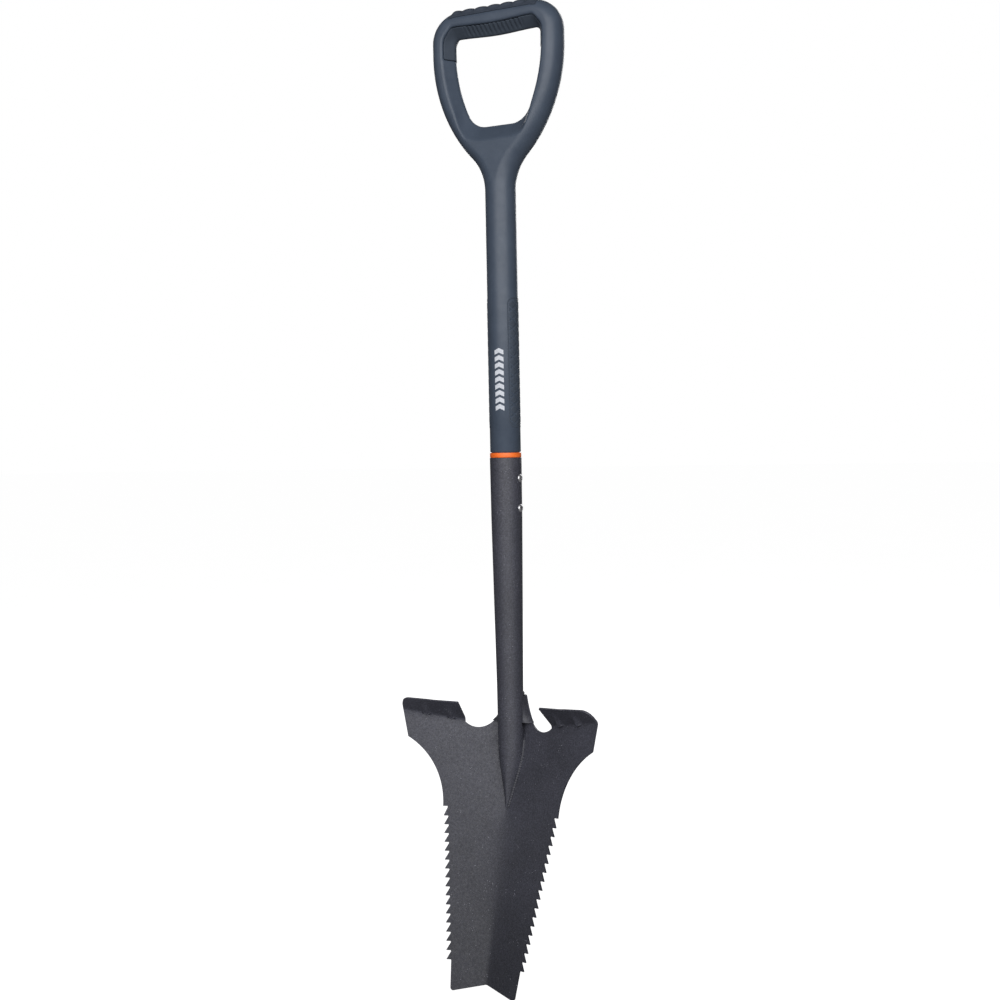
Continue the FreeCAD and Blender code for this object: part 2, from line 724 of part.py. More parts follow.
def check(pieces):
    for item in doc.Objects:
        if "Invalid" in item.State or "Error" in item.State:
            raise RuntimeError(f"{item.Label} failed: {item.State}")
    for piece in pieces:
        if piece.Shape.isNull() or not piece.Shape.isValid() or not piece.Shape.Solids:
            raise RuntimeError(f"{piece.Label} has no valid solid")


nodes = build()
check(nodes)
os.makedirs("parts", exist_ok=True)
for node in nodes:
    node.Shape.exportStep(f"parts/{node.Label}.step")
    box = node.Shape.BoundBox
    print(f"{node.Label:18s} solids {len(node.Shape.Solids)}  volume {node.Shape.Volume / 1000:9.2f} cm3  "
          f"x {box.XMin:7.1f} {box.XMax:7.1f}  y {box.YMin:7.1f} {box.YMax:7.1f}  "
          f"z {box.ZMin:7.1f} {box.ZMax:7.1f}")
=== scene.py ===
"""Looks of the detecting shovel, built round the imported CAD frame.

Lengths are in millimetres until a mesh is made. +Z runs up the shaft and -Y is in front of the blade.
"""
import math

import bmesh
import bpy
import numpy as np
import openvdb
from mathutils import Matrix, Vector
from mathutils.geometry import delaunay_2d_cdt


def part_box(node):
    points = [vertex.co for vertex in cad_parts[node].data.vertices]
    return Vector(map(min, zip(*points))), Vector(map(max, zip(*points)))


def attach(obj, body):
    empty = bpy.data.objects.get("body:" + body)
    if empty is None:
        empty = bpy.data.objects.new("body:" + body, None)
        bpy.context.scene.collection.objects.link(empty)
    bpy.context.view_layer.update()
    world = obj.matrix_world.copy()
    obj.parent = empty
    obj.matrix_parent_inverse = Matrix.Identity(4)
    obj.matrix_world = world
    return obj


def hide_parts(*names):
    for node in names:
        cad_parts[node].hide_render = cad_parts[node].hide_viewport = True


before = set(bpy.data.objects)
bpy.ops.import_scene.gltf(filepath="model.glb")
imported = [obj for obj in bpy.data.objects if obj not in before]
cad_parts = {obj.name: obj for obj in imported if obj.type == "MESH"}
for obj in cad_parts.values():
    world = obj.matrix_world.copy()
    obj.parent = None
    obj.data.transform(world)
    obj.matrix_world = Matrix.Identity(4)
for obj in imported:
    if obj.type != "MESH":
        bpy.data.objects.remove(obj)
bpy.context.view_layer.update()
MM = 0.001


def node_box(node):
    """A CAD node's lowest and highest corners in millimetres."""
    return [[value / MM for value in corner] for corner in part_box(node)]


# ---- driving dimensions ----

RING_LOW, RING_HIGH = node_box("trim_ring")
PANEL_LOW, PANEL_HIGH = node_box("side_panel_right")
RIVET_LOW, RIVET_HIGH = node_box("rivet_sleeves")
HANDLE_LOW, HANDLE_HIGH = node_box("handle_body")
TUBE_TOP = node_box("shaft_tube")[1][2]
BLADE_TIP = node_box("blade")[0][2]

SHAFT_RADIUS = 15.3
SHAFT_END_EASE = [(0.0, 1.2), (0.5, 0.5), (1.0, 0.4)]
SPIGOT_RADIUS = 14.1
SPIGOT_TIP_RADIUS = 13.5
SPIGOT_PLAY = 0.1
SPIGOT_TIP_EASE = (1.0, 2.0)

GRIP_HALF_WIDTH = HANDLE_HIGH[0]
GRIP_TOP = 238.0
GRIP_WIDEST = 196.0
GRIP_SIDE_RADIUS = 152.0
GRIP_CORNER_RADIUS = 30.0
THROAT_RADIUS = 48.0
GRIP_HALF_DEPTH = 15.0
LEG_ROUNDING = 11.5

OPENING_HALF_WIDTH = 48.4
OPENING_WIDEST = 200.0
OPENING_SIDE_RADIUS = 155.0
OPENING_LOW_RADIUS = 22.0
OPENING_CORNER_RADIUS = 6.0
OPENING_FLOOR = 122.0
OPENING_TOP = 212.0

FACET_FRONT = 13.6
FACET_MIDDLE = 1.5
FLOOR_FACET = 7.2
BAR_FACET = 9.6
BAR_SAG = 1.6
RECESS = 2.6
RECESS_FIT = 0.15

LINER_WIDTH = 6.8
LINER_END = 191.0
LINER_PROUD = 0.35
SEAM_GAP = 0.45
RIB_DEPTH = 1.1
RIB_PITCH = 4.7
RIB_SPAN = 34.0

CAP_SEAM = 0.15
CAP_PROUD = 0.04
CAP_EDGE_DEPTH = 7.2
CAP_HALF_WIDTH = 49.0
CAP_REACH = 22.0
CAP_BUMP_HEIGHT = 2.1
CAP_BUMP_PITCH = 14.3

PANEL_SPREAD = math.radians(47.0)
PANEL_CORNER = 7.0
PANEL_BACK = 1.3
DIAMOND_HEIGHT = 9.4
DIAMOND_WIDTH = 6.3
RING_EASE = 0.45
RING_GAP = 0.1
RING_PLAY = 0.05

TUBE_WALL = 1.5
TUBE_RIM_EASE = 0.5
TUBE_PROFILE = [(15.85, TUBE_TOP), (15.5, -270.0), (13.2, -436.0), (12.7, -566.0)]

SHEET = 2.0
CREASE_Y = 14.5
BEND_Z = -470.0
BLADE_LEAN = 16.6
WING_ANGLE_TOP = 22.0
WING_ANGLE_LOW = 13.0
WING_LOW_Z = -575.0
CREASE_SHARP = 2.2
CREASE_SOFT = 13.0
SOFT_BELOW = (-556.0, -582.0)
SOFT_ABOVE = (-700.0, -600.0)
NECK_TOP = -446.5
NECK_SIDE = (15.2, -458.5)
NECK_FOOT = (19.0, -469.0)
WAIST = (72.9, -524.1)
SHOULDER = (103.4, -490.2)
NOTCH_FLOOR = (33.5, -480.4)

TOOTH_COUNT = 17
TOOTH_PITCH = 8.33
TOOTH_DEPTH = 4.8
FIRST_TIP = (62.9, -567.9)
LAST_TIP_X = 42.7
SAW_TOP = (64.4, -558.6)
POINT = (35.5, -728.8)
POINT_CORNER = 3.0
TIP_NOTCH_Z = -721.4

FOLD_OUTER = (109.0, -462.0)
FOLD_INNER = (49.0, -473.0)
TREAD_OUTER = Vector((104.0, -40.0, -449.5))
TREAD_INNER = Vector((45.2, -26.8, -453.0))
FOLD_RADIUS = 5.0
FOLD_SETBACK = 2.2
FOLD_SPANS = 60
TREAD_CORNER = 9.0
TREAD_CORNER_CUT = 0.55
DARTS = (0.22, 0.62)
DART_HALF_WIDTH = 5.0
DART_DEPTH = 5.6

SEAT_SINK = 0.25
GROOVE_DEPTH = 1.9
GROOVE_SIDE = (-3.0, -7.0)
GROOVE_START = (-478.0, -490.0)
RELIEF_PROFILE = [(-1.0, -473.5), (20.0, -473.5), (20.0, -488.0), (5.0, -488.0)]
NOSE_TOP = -500.0
NOSE_END = -557.0
NOSE_SQUEEZE = 0.52
NOSE_BEAD = (-489.0, -558.5)
NOSE_BEAD_OFFSET = 0.35
REAR_BEAD_LEVEL = -445.0
REAR_BEAD_OFFSET = 0.9
REAR_BEAD_HALF_TURN = 50.0
NECK_WELD_EDGE = [(13.0, -447.2), (15.0, -457.0), (17.2, -465.5), (20.5, -470.5), (23.5, -473.6)]
NECK_WELD_DEPTH = 3.4

RIVET_HEAD_RADIUS = 4.0
RIVET_BORE = 1.35
MANDREL_RADIUS = 1.28


# ---- mesh helpers ----

def add_object(name, bm, material, smooth_angle=40.0):
    """Turns a bmesh in millimetres into an object in metres."""
    mesh = bpy.data.meshes.new(name)
    bmesh.ops.recalc_face_normals(bm, faces=bm.faces[:])
    bm.to_mesh(mesh)
    bm.free()
    mesh.transform(Matrix.Scale(MM, 4))
    mesh.shade_smooth()
    mesh.set_sharp_from_angle(angle=math.radians(smooth_angle))
    piece = bpy.data.objects.new(name, mesh)
    bpy.context.scene.collection.objects.link(piece)
    piece.data.materials.append(material)
    return piece


def finish_piece(piece, node):
    """Puts a piece on the one body in place of its CAD node."""
    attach(piece, "root")
    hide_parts(node)


def bridge(bm, low, high):
    """Joins two closed rings of vertices with quads."""
    count = len(low)
    for step in range(count):
        after = (step + 1) % count
        bm.faces.new((low[step], low[after], high[after], high[step]))


def lathe(profile, segments=128):
    """Turns a closed profile of (radius, z) points about the Z axis."""
    bm = bmesh.new()
    rings = []
    for radius, level in profile:
        ring = []
        for step in range(segments):
            angle = 2 * math.pi * step / segments
            ring.append(bm.verts.new((radius * math.cos(angle), radius * math.sin(angle), level)))
        rings.append(ring)
    for low, high in zip(rings, rings[1:] + rings[:1]):
        bridge(bm, low, high)
    return bm


def shell_patch(outer, inner):
    """A closed solid between two matching grids of points, each an array of rows x columns x 3."""
    bm = bmesh.new()
    rows, columns = outer.shape[:2]
    top = [[bm.verts.new(outer[i, j]) for j in range(columns)] for i in range(rows)]
    low = [[bm.verts.new(inner[i, j]) for j in range(columns)] for i in range(rows)]
    for i in range(rows - 1):
        for j in range(columns - 1):
            bm.faces.new((top[i][j], top[i][j + 1], top[i + 1][j + 1], top[i + 1][j]))
            bm.faces.new((low[i][j], low[i + 1][j], low[i + 1][j + 1], low[i][j + 1]))
    rim = [(i, 0) for i in range(rows)] + [(rows - 1, j) for j in range(1, columns)]
    rim += [(i, columns - 1) for i in range(rows - 2, -1, -1)] + [(0, j) for j in range(columns - 2, 0, -1)]
    for here, there in zip(rim, rim[1:] + rim[:1]):
        bm.faces.new((top[here[0]][here[1]], top[there[0]][there[1]],
                      low[there[0]][there[1]], low[here[0]][here[1]]))
    return bm


def smoothstep(low, high, value):
    """0 at one value and 1 at another, with a smooth run between them."""
    share = np.clip((value - low) / (high - low), 0.0, 1.0)
    return share * share * (3 - 2 * share)


def soft_max(first, second, width):
    """The larger of two fields, rounded where they cross."""
    share = np.clip(0.5 + 0.5 * (first - second) / width, 0.0, 1.0)
    return second + (first - second) * share + width * share * (1 - share)


def field_mesh(field, low, voxel):
    """The surface where a field is zero, as a bmesh in millimetres."""
    grid = openvdb.FloatGrid(3 * voxel)
    grid.copyFromArray(np.clip(field, -3 * voxel, 3 * voxel).astype(np.float32))
    points, quads = grid.convertToQuads(0.0)
    mesh = bpy.data.meshes.new("field")
    mesh.from_pydata((points * voxel + np.array(low)).tolist(), [], quads.tolist())
    bm = bmesh.new()
    bm.from_mesh(mesh)
    bpy.data.meshes.remove(mesh)
    return bm


# ---- grip outlines and fields ----

def arc(centre, radius, start, end, count=24):
    """Points on an arc between two angles in degrees."""
    angles = np.radians(np.linspace(start, end, count))
    return [(centre[0] + radius * math.cos(a), centre[1] + radius * math.sin(a)) for a in angles]


def both_sides(half):
    """A whole outline from its right half."""
    return np.array(half + [(-x, z) for x, z in reversed(half) if x > 1e-9])


def grip_outline():
    """Outer outline of the D and its throat in the front view."""
    centre = (GRIP_HALF_WIDTH - GRIP_SIDE_RADIUS, GRIP_WIDEST)
    throat_x = SHAFT_RADIUS + THROAT_RADIUS
    reach = GRIP_SIDE_RADIUS + THROAT_RADIUS
    neck_z = GRIP_WIDEST - math.sqrt(reach ** 2 - (throat_x - centre[0]) ** 2)
    swing = math.degrees(math.atan2(neck_z - centre[1], throat_x - centre[0]))
    corner = (GRIP_HALF_WIDTH - GRIP_CORNER_RADIUS, GRIP_TOP - GRIP_CORNER_RADIUS)
    half = [(SHAFT_RADIUS, neck_z - 60)]
    half += arc((throat_x, neck_z), THROAT_RADIUS, 180, 180 + swing)
    half += arc(centre, GRIP_SIDE_RADIUS, swing, 0, 60)
    half += arc(corner, GRIP_CORNER_RADIUS, 0, 90)
    return both_sides(half), neck_z


def opening_outline():
    """The hand opening in the front view."""
    centre = (OPENING_HALF_WIDTH - OPENING_SIDE_RADIUS, OPENING_WIDEST)
    low_z = OPENING_FLOOR + OPENING_LOW_RADIUS
    low_x = centre[0] + math.sqrt(
        (OPENING_SIDE_RADIUS - OPENING_LOW_RADIUS) ** 2 - (OPENING_WIDEST - low_z) ** 2)
    swing = math.degrees(math.atan2(low_z - centre[1], low_x - centre[0]))
    corner = (OPENING_HALF_WIDTH - OPENING_CORNER_RADIUS, OPENING_TOP - OPENING_CORNER_RADIUS)
    half = arc((low_x, low_z), OPENING_LOW_RADIUS, -90, swing)
    half += arc(centre, OPENING_SIDE_RADIUS, swing, 0, 60)
    half += arc(corner, OPENING_CORNER_RADIUS, 0, 90)
    return both_sides(half)


def inside_distance(outline, x, z):
    """Distance from each place to a closed outline, positive inside it."""
    nearest = np.full(x.shape, 1e9)
    inside = np.zeros(x.shape, bool)
    for (ax, az), (bx, bz) in zip(outline, np.roll(outline, -1, axis=0)):
        dx, dz = bx - ax, bz - az
        share = np.clip(((x - ax) * dx + (z - az) * dz) / (dx * dx + dz * dz + 1e-12), 0, 1)
        nearest = np.minimum(nearest, np.hypot(x - ax - share * dx, z - az - share * dz))
        crosses = (az > z) != (bz > z)
        inside ^= crosses & (x < ax + dx * (z - az) / (dz if dz else 1e-12))
    return np.where(inside, nearest, -nearest)


def grip_fields(voxel):
    """The grip's own field, with the distances that its soft parts are cut by, on one grid."""
    outline, neck_z = grip_outline()
    margin = 3
    low = (-GRIP_HALF_WIDTH - margin, -GRIP_HALF_DEPTH - margin, neck_z - 8)
    high = (GRIP_HALF_WIDTH + margin, GRIP_HALF_DEPTH + margin, GRIP_TOP + 5)
    axes = [np.arange(a, b, voxel) for a, b in zip(low, high)]
    flat_x, flat_z = np.meshgrid(axes[0], axes[2], indexing="ij")
    edge = inside_distance(outline, flat_x, flat_z)
    hole = -inside_distance(opening_outline(), flat_x, flat_z)
    on_bar = smoothstep(OPENING_TOP - 12, OPENING_TOP - 2, flat_z) * smoothstep(52, 44, np.abs(flat_x))
    hole = hole + BAR_SAG * smoothstep(44, 0, np.abs(flat_x)) * on_bar
    rounding = LEG_ROUNDING + (SHAFT_RADIUS - LEG_ROUNDING) * smoothstep(neck_z + 55, neck_z, flat_z)
    depth = GRIP_HALF_DEPTH + (SHAFT_RADIUS - GRIP_HALF_DEPTH) * smoothstep(neck_z + 30, neck_z, flat_z)
    facet = LINER_WIDTH + FLOOR_FACET * smoothstep(160, 126, flat_z) * smoothstep(44, 30, np.abs(flat_x))
    facet = facet + (BAR_FACET - LINER_WIDTH) * on_bar
    y = np.abs(axes[1])[None, :, None]
    edge, hole, rounding, depth, facet, on_bar = (
        a[:, None, :] for a in (edge, hole, rounding, depth, facet, on_bar))
    bulge = np.hypot(np.clip(1 - edge / rounding, 0, None), y / depth) - 1
    field = bulge * np.minimum(rounding, depth)
    facet_rise = FACET_FRONT - FACET_MIDDLE
    inner = ((y - FACET_MIDDLE) * facet - hole * facet_rise) / np.hypot(facet, facet_rise)
    field = soft_max(field, inner, 1.6)
    field = soft_max(field, -hole + 0 * y, 1.2)
    x = axes[0][:, None, None]
    z = axes[2][None, None, :]
    lining = soft_max(hole - LINER_WIDTH - (BAR_FACET - LINER_WIDTH) * on_bar, LINER_END - z, 1.0)
    return field, edge, lining, x, y, z, low


def cap_region(edge, x, z):
    """Below zero where the cap lies: near the outline's edge, on the upper bar only."""
    region = soft_max(edge - CAP_EDGE_DEPTH, np.abs(x) - CAP_HALF_WIDTH, 2.0)
    return soft_max(region, GRIP_TOP - CAP_REACH - z, 1.0)


def seated(body, field):
    """Keeps a soft part inside its recess in the moulding."""
    return soft_max(body, -(field + RECESS - RECESS_FIT), 0.4)


def make_handle(material):
    """Grip, throat, shaft and spigot in one closed mesh, recessed for the soft parts."""
    voxel = 0.75
    field, edge, lining, x, y, z, low = grip_fields(voxel)
    for region in (lining, cap_region(edge, x, z)):
        field = soft_max(field, np.minimum(-region, field + RECESS), 0.7)
    bm = field_mesh(field, low, voxel)
    neck_z = grip_outline()[1]
    bmesh.ops.bisect_plane(bm, geom=bm.verts[:] + bm.edges[:] + bm.faces[:],
                           plane_co=(0, 0, neck_z - 4), plane_no=(0, 0, -1), clear_outer=True)
    ring_top = RING_HIGH[2]
    steps = [(SHAFT_RADIUS, neck_z - 12), (SHAFT_RADIUS, -40.0)]
    steps += [(SHAFT_RADIUS - inset, ring_top + rise) for inset, rise in SHAFT_END_EASE]
    steps += [(SPIGOT_RADIUS - SPIGOT_PLAY, ring_top + SHAFT_END_EASE[-1][1]),
              (SPIGOT_TIP_RADIUS - SPIGOT_PLAY, HANDLE_LOW[2] + SPIGOT_TIP_EASE[1]),
              (SPIGOT_TIP_RADIUS - SPIGOT_TIP_EASE[0], HANDLE_LOW[2])]
    border = [item for item in bm.edges if item.is_boundary]
    for radius, level in steps:
        made = bmesh.ops.extrude_edge_only(bm, edges=border)["geom"]
        border = [item for item in made if isinstance(item, bmesh.types.BMEdge) and item.is_boundary]
        for vert in {v for e in border for v in e.verts}:
            flat = math.hypot(vert.co.x, vert.co.y)
            vert.co = (vert.co.x * radius / flat, vert.co.y * radius / flat, level)
    bmesh.ops.contextual_create(bm, geom=border)
    return add_object("handle_moulding", bm, material, 50)


def make_liner(material):
    """Soft lining of the grip's bar and upper legs, with fine ribs under the fingers."""
    voxel = 0.6
    field, edge, lining, x, y, z, low = grip_fields(voxel)
    ribs = RIB_DEPTH * (0.5 + 0.5 * np.cos(2 * np.pi * x / RIB_PITCH)) ** 1.5
    ribs = ribs * smoothstep(RIB_SPAN, RIB_SPAN - 4, np.abs(x))
    ribs = ribs * smoothstep(OPENING_TOP - 6, OPENING_TOP - 3, z) * smoothstep(2.0, 6.0, y)
    body = soft_max(field - LINER_PROUD + ribs, lining + SEAM_GAP, 0.9)
    return add_object("grip_lining", field_mesh(seated(body, field), low, voxel), material, 60)


def make_cap(material):
    """Soft cap over the bar, with a row of rounded bumps."""
    voxel = 0.6
    field, edge, lining, x, y, z, low = grip_fields(voxel)
    wave = np.sqrt(np.abs(np.cos(np.pi * x / CAP_BUMP_PITCH)) + 0.02)
    top = smoothstep(5.0, 0.5, edge) * smoothstep(CAP_HALF_WIDTH, CAP_HALF_WIDTH - 7, np.abs(x))
    proud = CAP_PROUD + CAP_BUMP_HEIGHT * wave * top
    body = soft_max(field - proud, cap_region(edge, x, z) + CAP_SEAM, 0.4)
    return add_object("grip_top_cap", field_mesh(seated(body, field), low, voxel), material, 60)


# ---- shaft details ----

def make_side_panel(name, side, material):
    """Soft inlay with a raised border and a diamond-cut field."""
    rows, columns = 430, 84
    heights = np.linspace(PANEL_LOW[2], PANEL_HIGH[2], rows)
    turns = np.linspace(-PANEL_SPREAD, PANEL_SPREAD, columns)
    turn, level = np.meshgrid(turns, heights)
    arc_place = turn * SHAFT_RADIUS
    from_side = PANEL_SPREAD * SHAFT_RADIUS - np.abs(arc_place)
    from_end = np.minimum(level - PANEL_LOW[2], PANEL_HIGH[2] - level)
    rim = np.where((from_side < PANEL_CORNER) & (from_end < PANEL_CORNER),
                   PANEL_CORNER - np.hypot(PANEL_CORNER - from_side, PANEL_CORNER - from_end),
                   np.minimum(from_side, from_end))

    def groove(value):
        return np.abs(value - np.round(value))

    up, across = level / DIAMOND_HEIGHT, arc_place / DIAMOND_WIDTH / 2
    cut = np.minimum(groove(up + across), groove(up - across))
    diamonds = smoothstep(0.05, 0.17, cut)
    field = smoothstep(2.0, 2.6, rim)
    border = smoothstep(-0.1, 0.5, rim) * (1 - smoothstep(1.3, 1.8, rim))
    radius = SHAFT_RADIUS - 0.35 + 0.62 * border + field * (0.22 + 0.5 * diamonds)
    outer = np.stack([side * radius * np.cos(turn), radius * np.sin(turn), level], axis=-1)
    back = SHAFT_RADIUS - PANEL_BACK
    inner = np.stack([side * back * np.cos(turn), back * np.sin(turn), level], axis=-1)
    return add_object(name, shell_patch(outer, inner), material, 70)


def make_ring(material):
    """Orange trim ring with eased edges."""
    low, high = RING_LOW[2] + RING_GAP, RING_HIGH[2] - RING_GAP
    outer = RING_HIGH[0]
    bore = SPIGOT_RADIUS + RING_PLAY
    ease, near = RING_EASE, RING_EASE * 0.3
    profile = [(bore, low), (outer - ease, low), (outer - near, low + near), (outer, low + ease),
               (outer, high - ease), (outer - near, high - near), (outer - ease, high), (bore, high)]
    return add_object("orange_ring", lathe(profile), material, 50)


def print_marks(material):
    """A plain row of chevrons, printed on the front of the shaft."""
    count = 9
    pitch = 6.9
    length_z = 4.4
    half_width = 4.6
    slant = 2.2
    centre_turn = math.radians(-80)
    middle_z = (PANEL_LOW[2] + PANEL_HIGH[2]) / 2 - 17.6
    bm = bmesh.new()
    columns = 9
    for number in range(count):
        base = middle_z + (number - (count - 1) / 2) * pitch
        grids = []
        for radius in (SHAFT_RADIUS + 0.09, SHAFT_RADIUS - 0.1):
            rows = []
            for end in (-0.5, 0.5):
                row = []
                for column in range(columns):
                    share = column / (columns - 1) * 2 - 1
                    turn = centre_turn + share * half_width / SHAFT_RADIUS
                    level = base + end * length_z + slant * (1 - abs(share))
                    row.append((radius * math.cos(turn), radius * math.sin(turn), level))
                rows.append(row)
            grids.append(np.array(rows))
        part = shell_patch(*grids)
        mesh = bpy.data.meshes.new("chevron")
        part.to_mesh(mesh)
        part.free()
        bm.from_mesh(mesh)
        bpy.data.meshes.remove(mesh)
    return add_object("printed_chevrons", bm, material, 50)


# ---- blade ----

def crease_y(level):
    """How far forward the blade's crease lies at one level."""
    return CREASE_Y - max(0.0, BEND_Z - level) * math.tan(math.radians(BLADE_LEAN))


def wing_slope(level):
    """How steeply each wing of the V runs forward from the crease."""
    share = min(1.0, max(0.0, (level - WING_LOW_Z) / (BEND_Z - WING_LOW_Z)))
    return math.tan(math.radians(WING_ANGLE_LOW + share * (WING_ANGLE_TOP - WING_ANGLE_LOW)))


def crease_softness(level):
    """The crease is soft below the tube's nose, and sharp behind the tube and towards the tip."""
    soft = smoothstep(*SOFT_BELOW, level) * smoothstep(*SOFT_ABOVE, level)
    return CREASE_SHARP + float(soft) * (CREASE_SOFT - CREASE_SHARP)


def sheet_point(x, level):
    """A place on the blade's front face."""
    bend = math.hypot(x, crease_softness(level))
    return Vector((x, crease_y(level) - bend * wing_slope(level), level))


def sheet_normal(x, level):
    """Points out of the blade's back."""
    step = 0.5
    across = sheet_point(x + step, level) - sheet_point(x - step, level)
    along = sheet_point(x, level + step) - sheet_point(x, level - step)
    normal = along.cross(across).normalized()
    return normal if normal.y > 0 else -normal


def arc_through(start, middle, end, count):
    """Points on the circle through three points, without the first."""
    (ax, az), (bx, bz), (cx, cz) = start, middle, end
    d = 2 * (ax * (bz - cz) + bx * (cz - az) + cx * (az - bz))
    a2, b2, c2 = ax * ax + az * az, bx * bx + bz * bz, cx * cx + cz * cz
    ux = (a2 * (bz - cz) + b2 * (cz - az) + c2 * (az - bz)) / d
    uz = (a2 * (cx - bx) + b2 * (ax - cx) + c2 * (bx - ax)) / d
    radius = math.hypot(ax - ux, az - uz)
    first = math.atan2(az - uz, ax - ux)
    mid = (math.atan2(bz - uz, bx - ux) - first) % (2 * math.pi)
    last = (math.atan2(cz - uz, cx - ux) - first) % (2 * math.pi)
    if mid > last:
        last -= 2 * math.pi
    turns = [first + last * k / count for k in range(1, count + 1)]
    return [(ux + radius * math.cos(turn), uz + radius * math.sin(turn)) for turn in turns]


def fold_place(share):
    """A place along the fold line, set back down the sheet to where the bend starts."""
    x = FOLD_INNER[0] + share * (FOLD_OUTER[0] - FOLD_INNER[0])
    level = FOLD_INNER[1] + share * (FOLD_OUTER[1] - FOLD_INNER[1])
    return (x - 0.18 * FOLD_SETBACK * share, level - FOLD_SETBACK)


def tooth_root(tip_x, tip_z):
    """The undercut root below one tooth."""
    root_x = tip_x - TOOTH_DEPTH
    return [(root_x, tip_z - 0.9), (root_x + 0.3, tip_z + 0.1)]


def blade_outline():
    """The blade's right outline in the front view, and where on it the tread's fold starts and ends."""
    half = [(0.0, TIP_NOTCH_Z), (1.2, TIP_NOTCH_Z - 0.1), (2.6, TIP_NOTCH_Z - 0.5)]
    centre_x, centre_z = POINT[0] - POINT_CORNER, POINT[1] + POINT_CORNER
    half += [(centre_x, POINT[1])]
    half += [(centre_x + POINT_CORNER * math.sin(a), centre_z - POINT_CORNER * math.cos(a))
             for a in np.radians([25, 50, 70, 90])]
    step_in = (FIRST_TIP[0] - LAST_TIP_X) / (TOOTH_COUNT - 1)
    for number in range(TOOTH_COUNT - 1, -1, -1):
        tip_x = FIRST_TIP[0] - number * step_in
        tip_z = FIRST_TIP[1] - number * TOOTH_PITCH
        half += tooth_root(tip_x, tip_z)
        half += [(tip_x - 0.3, tip_z), (tip_x, tip_z + 0.5)]
    half += tooth_root(*SAW_TOP)
    half += [SAW_TOP]
    half += arc_through(SAW_TOP, WAIST, SHOULDER, 22)
    half += [fold_place(1.0)]
    fold_start = len(half) - 1
    half += [fold_place(1 - k / FOLD_SPANS) for k in range(1, FOLD_SPANS + 1)]
    fold_end = len(half) - 1
    half += arc_through(half[-1], NOTCH_FLOOR, NECK_FOOT, 16)
    half += arc_through(NECK_FOOT, NECK_SIDE, (12.8, -448.0), 8)
    half += [(11.8, -446.7), (10.4, NECK_TOP), (0.0, NECK_TOP)]
    return half, fold_start, fold_end


def flange_frame(side):
    """The inner and outer ends of the fold line, and of the tread's free edge."""
    inner = sheet_point(side * FOLD_INNER[0], FOLD_INNER[1])
    outer = sheet_point(side * FOLD_OUTER[0], FOLD_OUTER[1])
    edge_inner = Vector((side * TREAD_INNER.x, TREAD_INNER.y, TREAD_INNER.z))
    edge_outer = Vector((side * TREAD_OUTER.x, TREAD_OUTER.y, TREAD_OUTER.z))
    return inner, outer, edge_inner, edge_outer


def tread_row(side, share, start_normal, down):
    """Points and rear normals across the fold and out over the tread at one place along the fold."""
    inner, outer, edge_inner, edge_outer = flange_frame(side)
    base = inner.lerp(outer, share)
    edge = edge_inner.lerp(edge_outer, share)
    run = edge - base
    from_outer = (1 - share) * (outer - inner).length
    if from_outer < TREAD_CORNER:
        round_off = math.sqrt(max(0.0, 1 - (1 - from_outer / TREAD_CORNER) ** 2))
        run = run * (1 - TREAD_CORNER_CUT * (1 - round_off))
    across = run.normalized()
    turn = down.angle(across)
    axis = down.cross(across).normalized()
    setback = FOLD_RADIUS * math.tan(turn / 2)
    points = []
    arcs = 7
    centre_side = axis.cross(down)
    begin = base - down * setback
    for k in range(1, arcs + 1):
        angle = turn * k / arcs
        offset = down * (FOLD_RADIUS * math.sin(angle))
        offset += centre_side * (FOLD_RADIUS * (1 - math.cos(angle)))
        normal = Matrix.Rotation(angle, 3, axis) @ start_normal
        points.append((begin + offset, normal))
    flat_start = base + across * setback
    flat_normal = points[-1][1]
    spans = 6
    for k in range(1, spans + 1):
        points.append((flat_start.lerp(base + run, k / spans), flat_normal))
    return points


def dart_depth(share, fold_length, row):
    """How far a stiffening dart pushes the bend in at one place; rows count across the fold."""
    reach = min(1.0, (row + 1) / 4.0) * max(0.0, 1 - max(0, row - 4) / 6.0)
    push = 0.0
    for place in DARTS:
        gap = abs(share - place) * fold_length / DART_HALF_WIDTH
        push = max(push, max(0.0, 1 - gap))
    return DART_DEPTH * reach * push


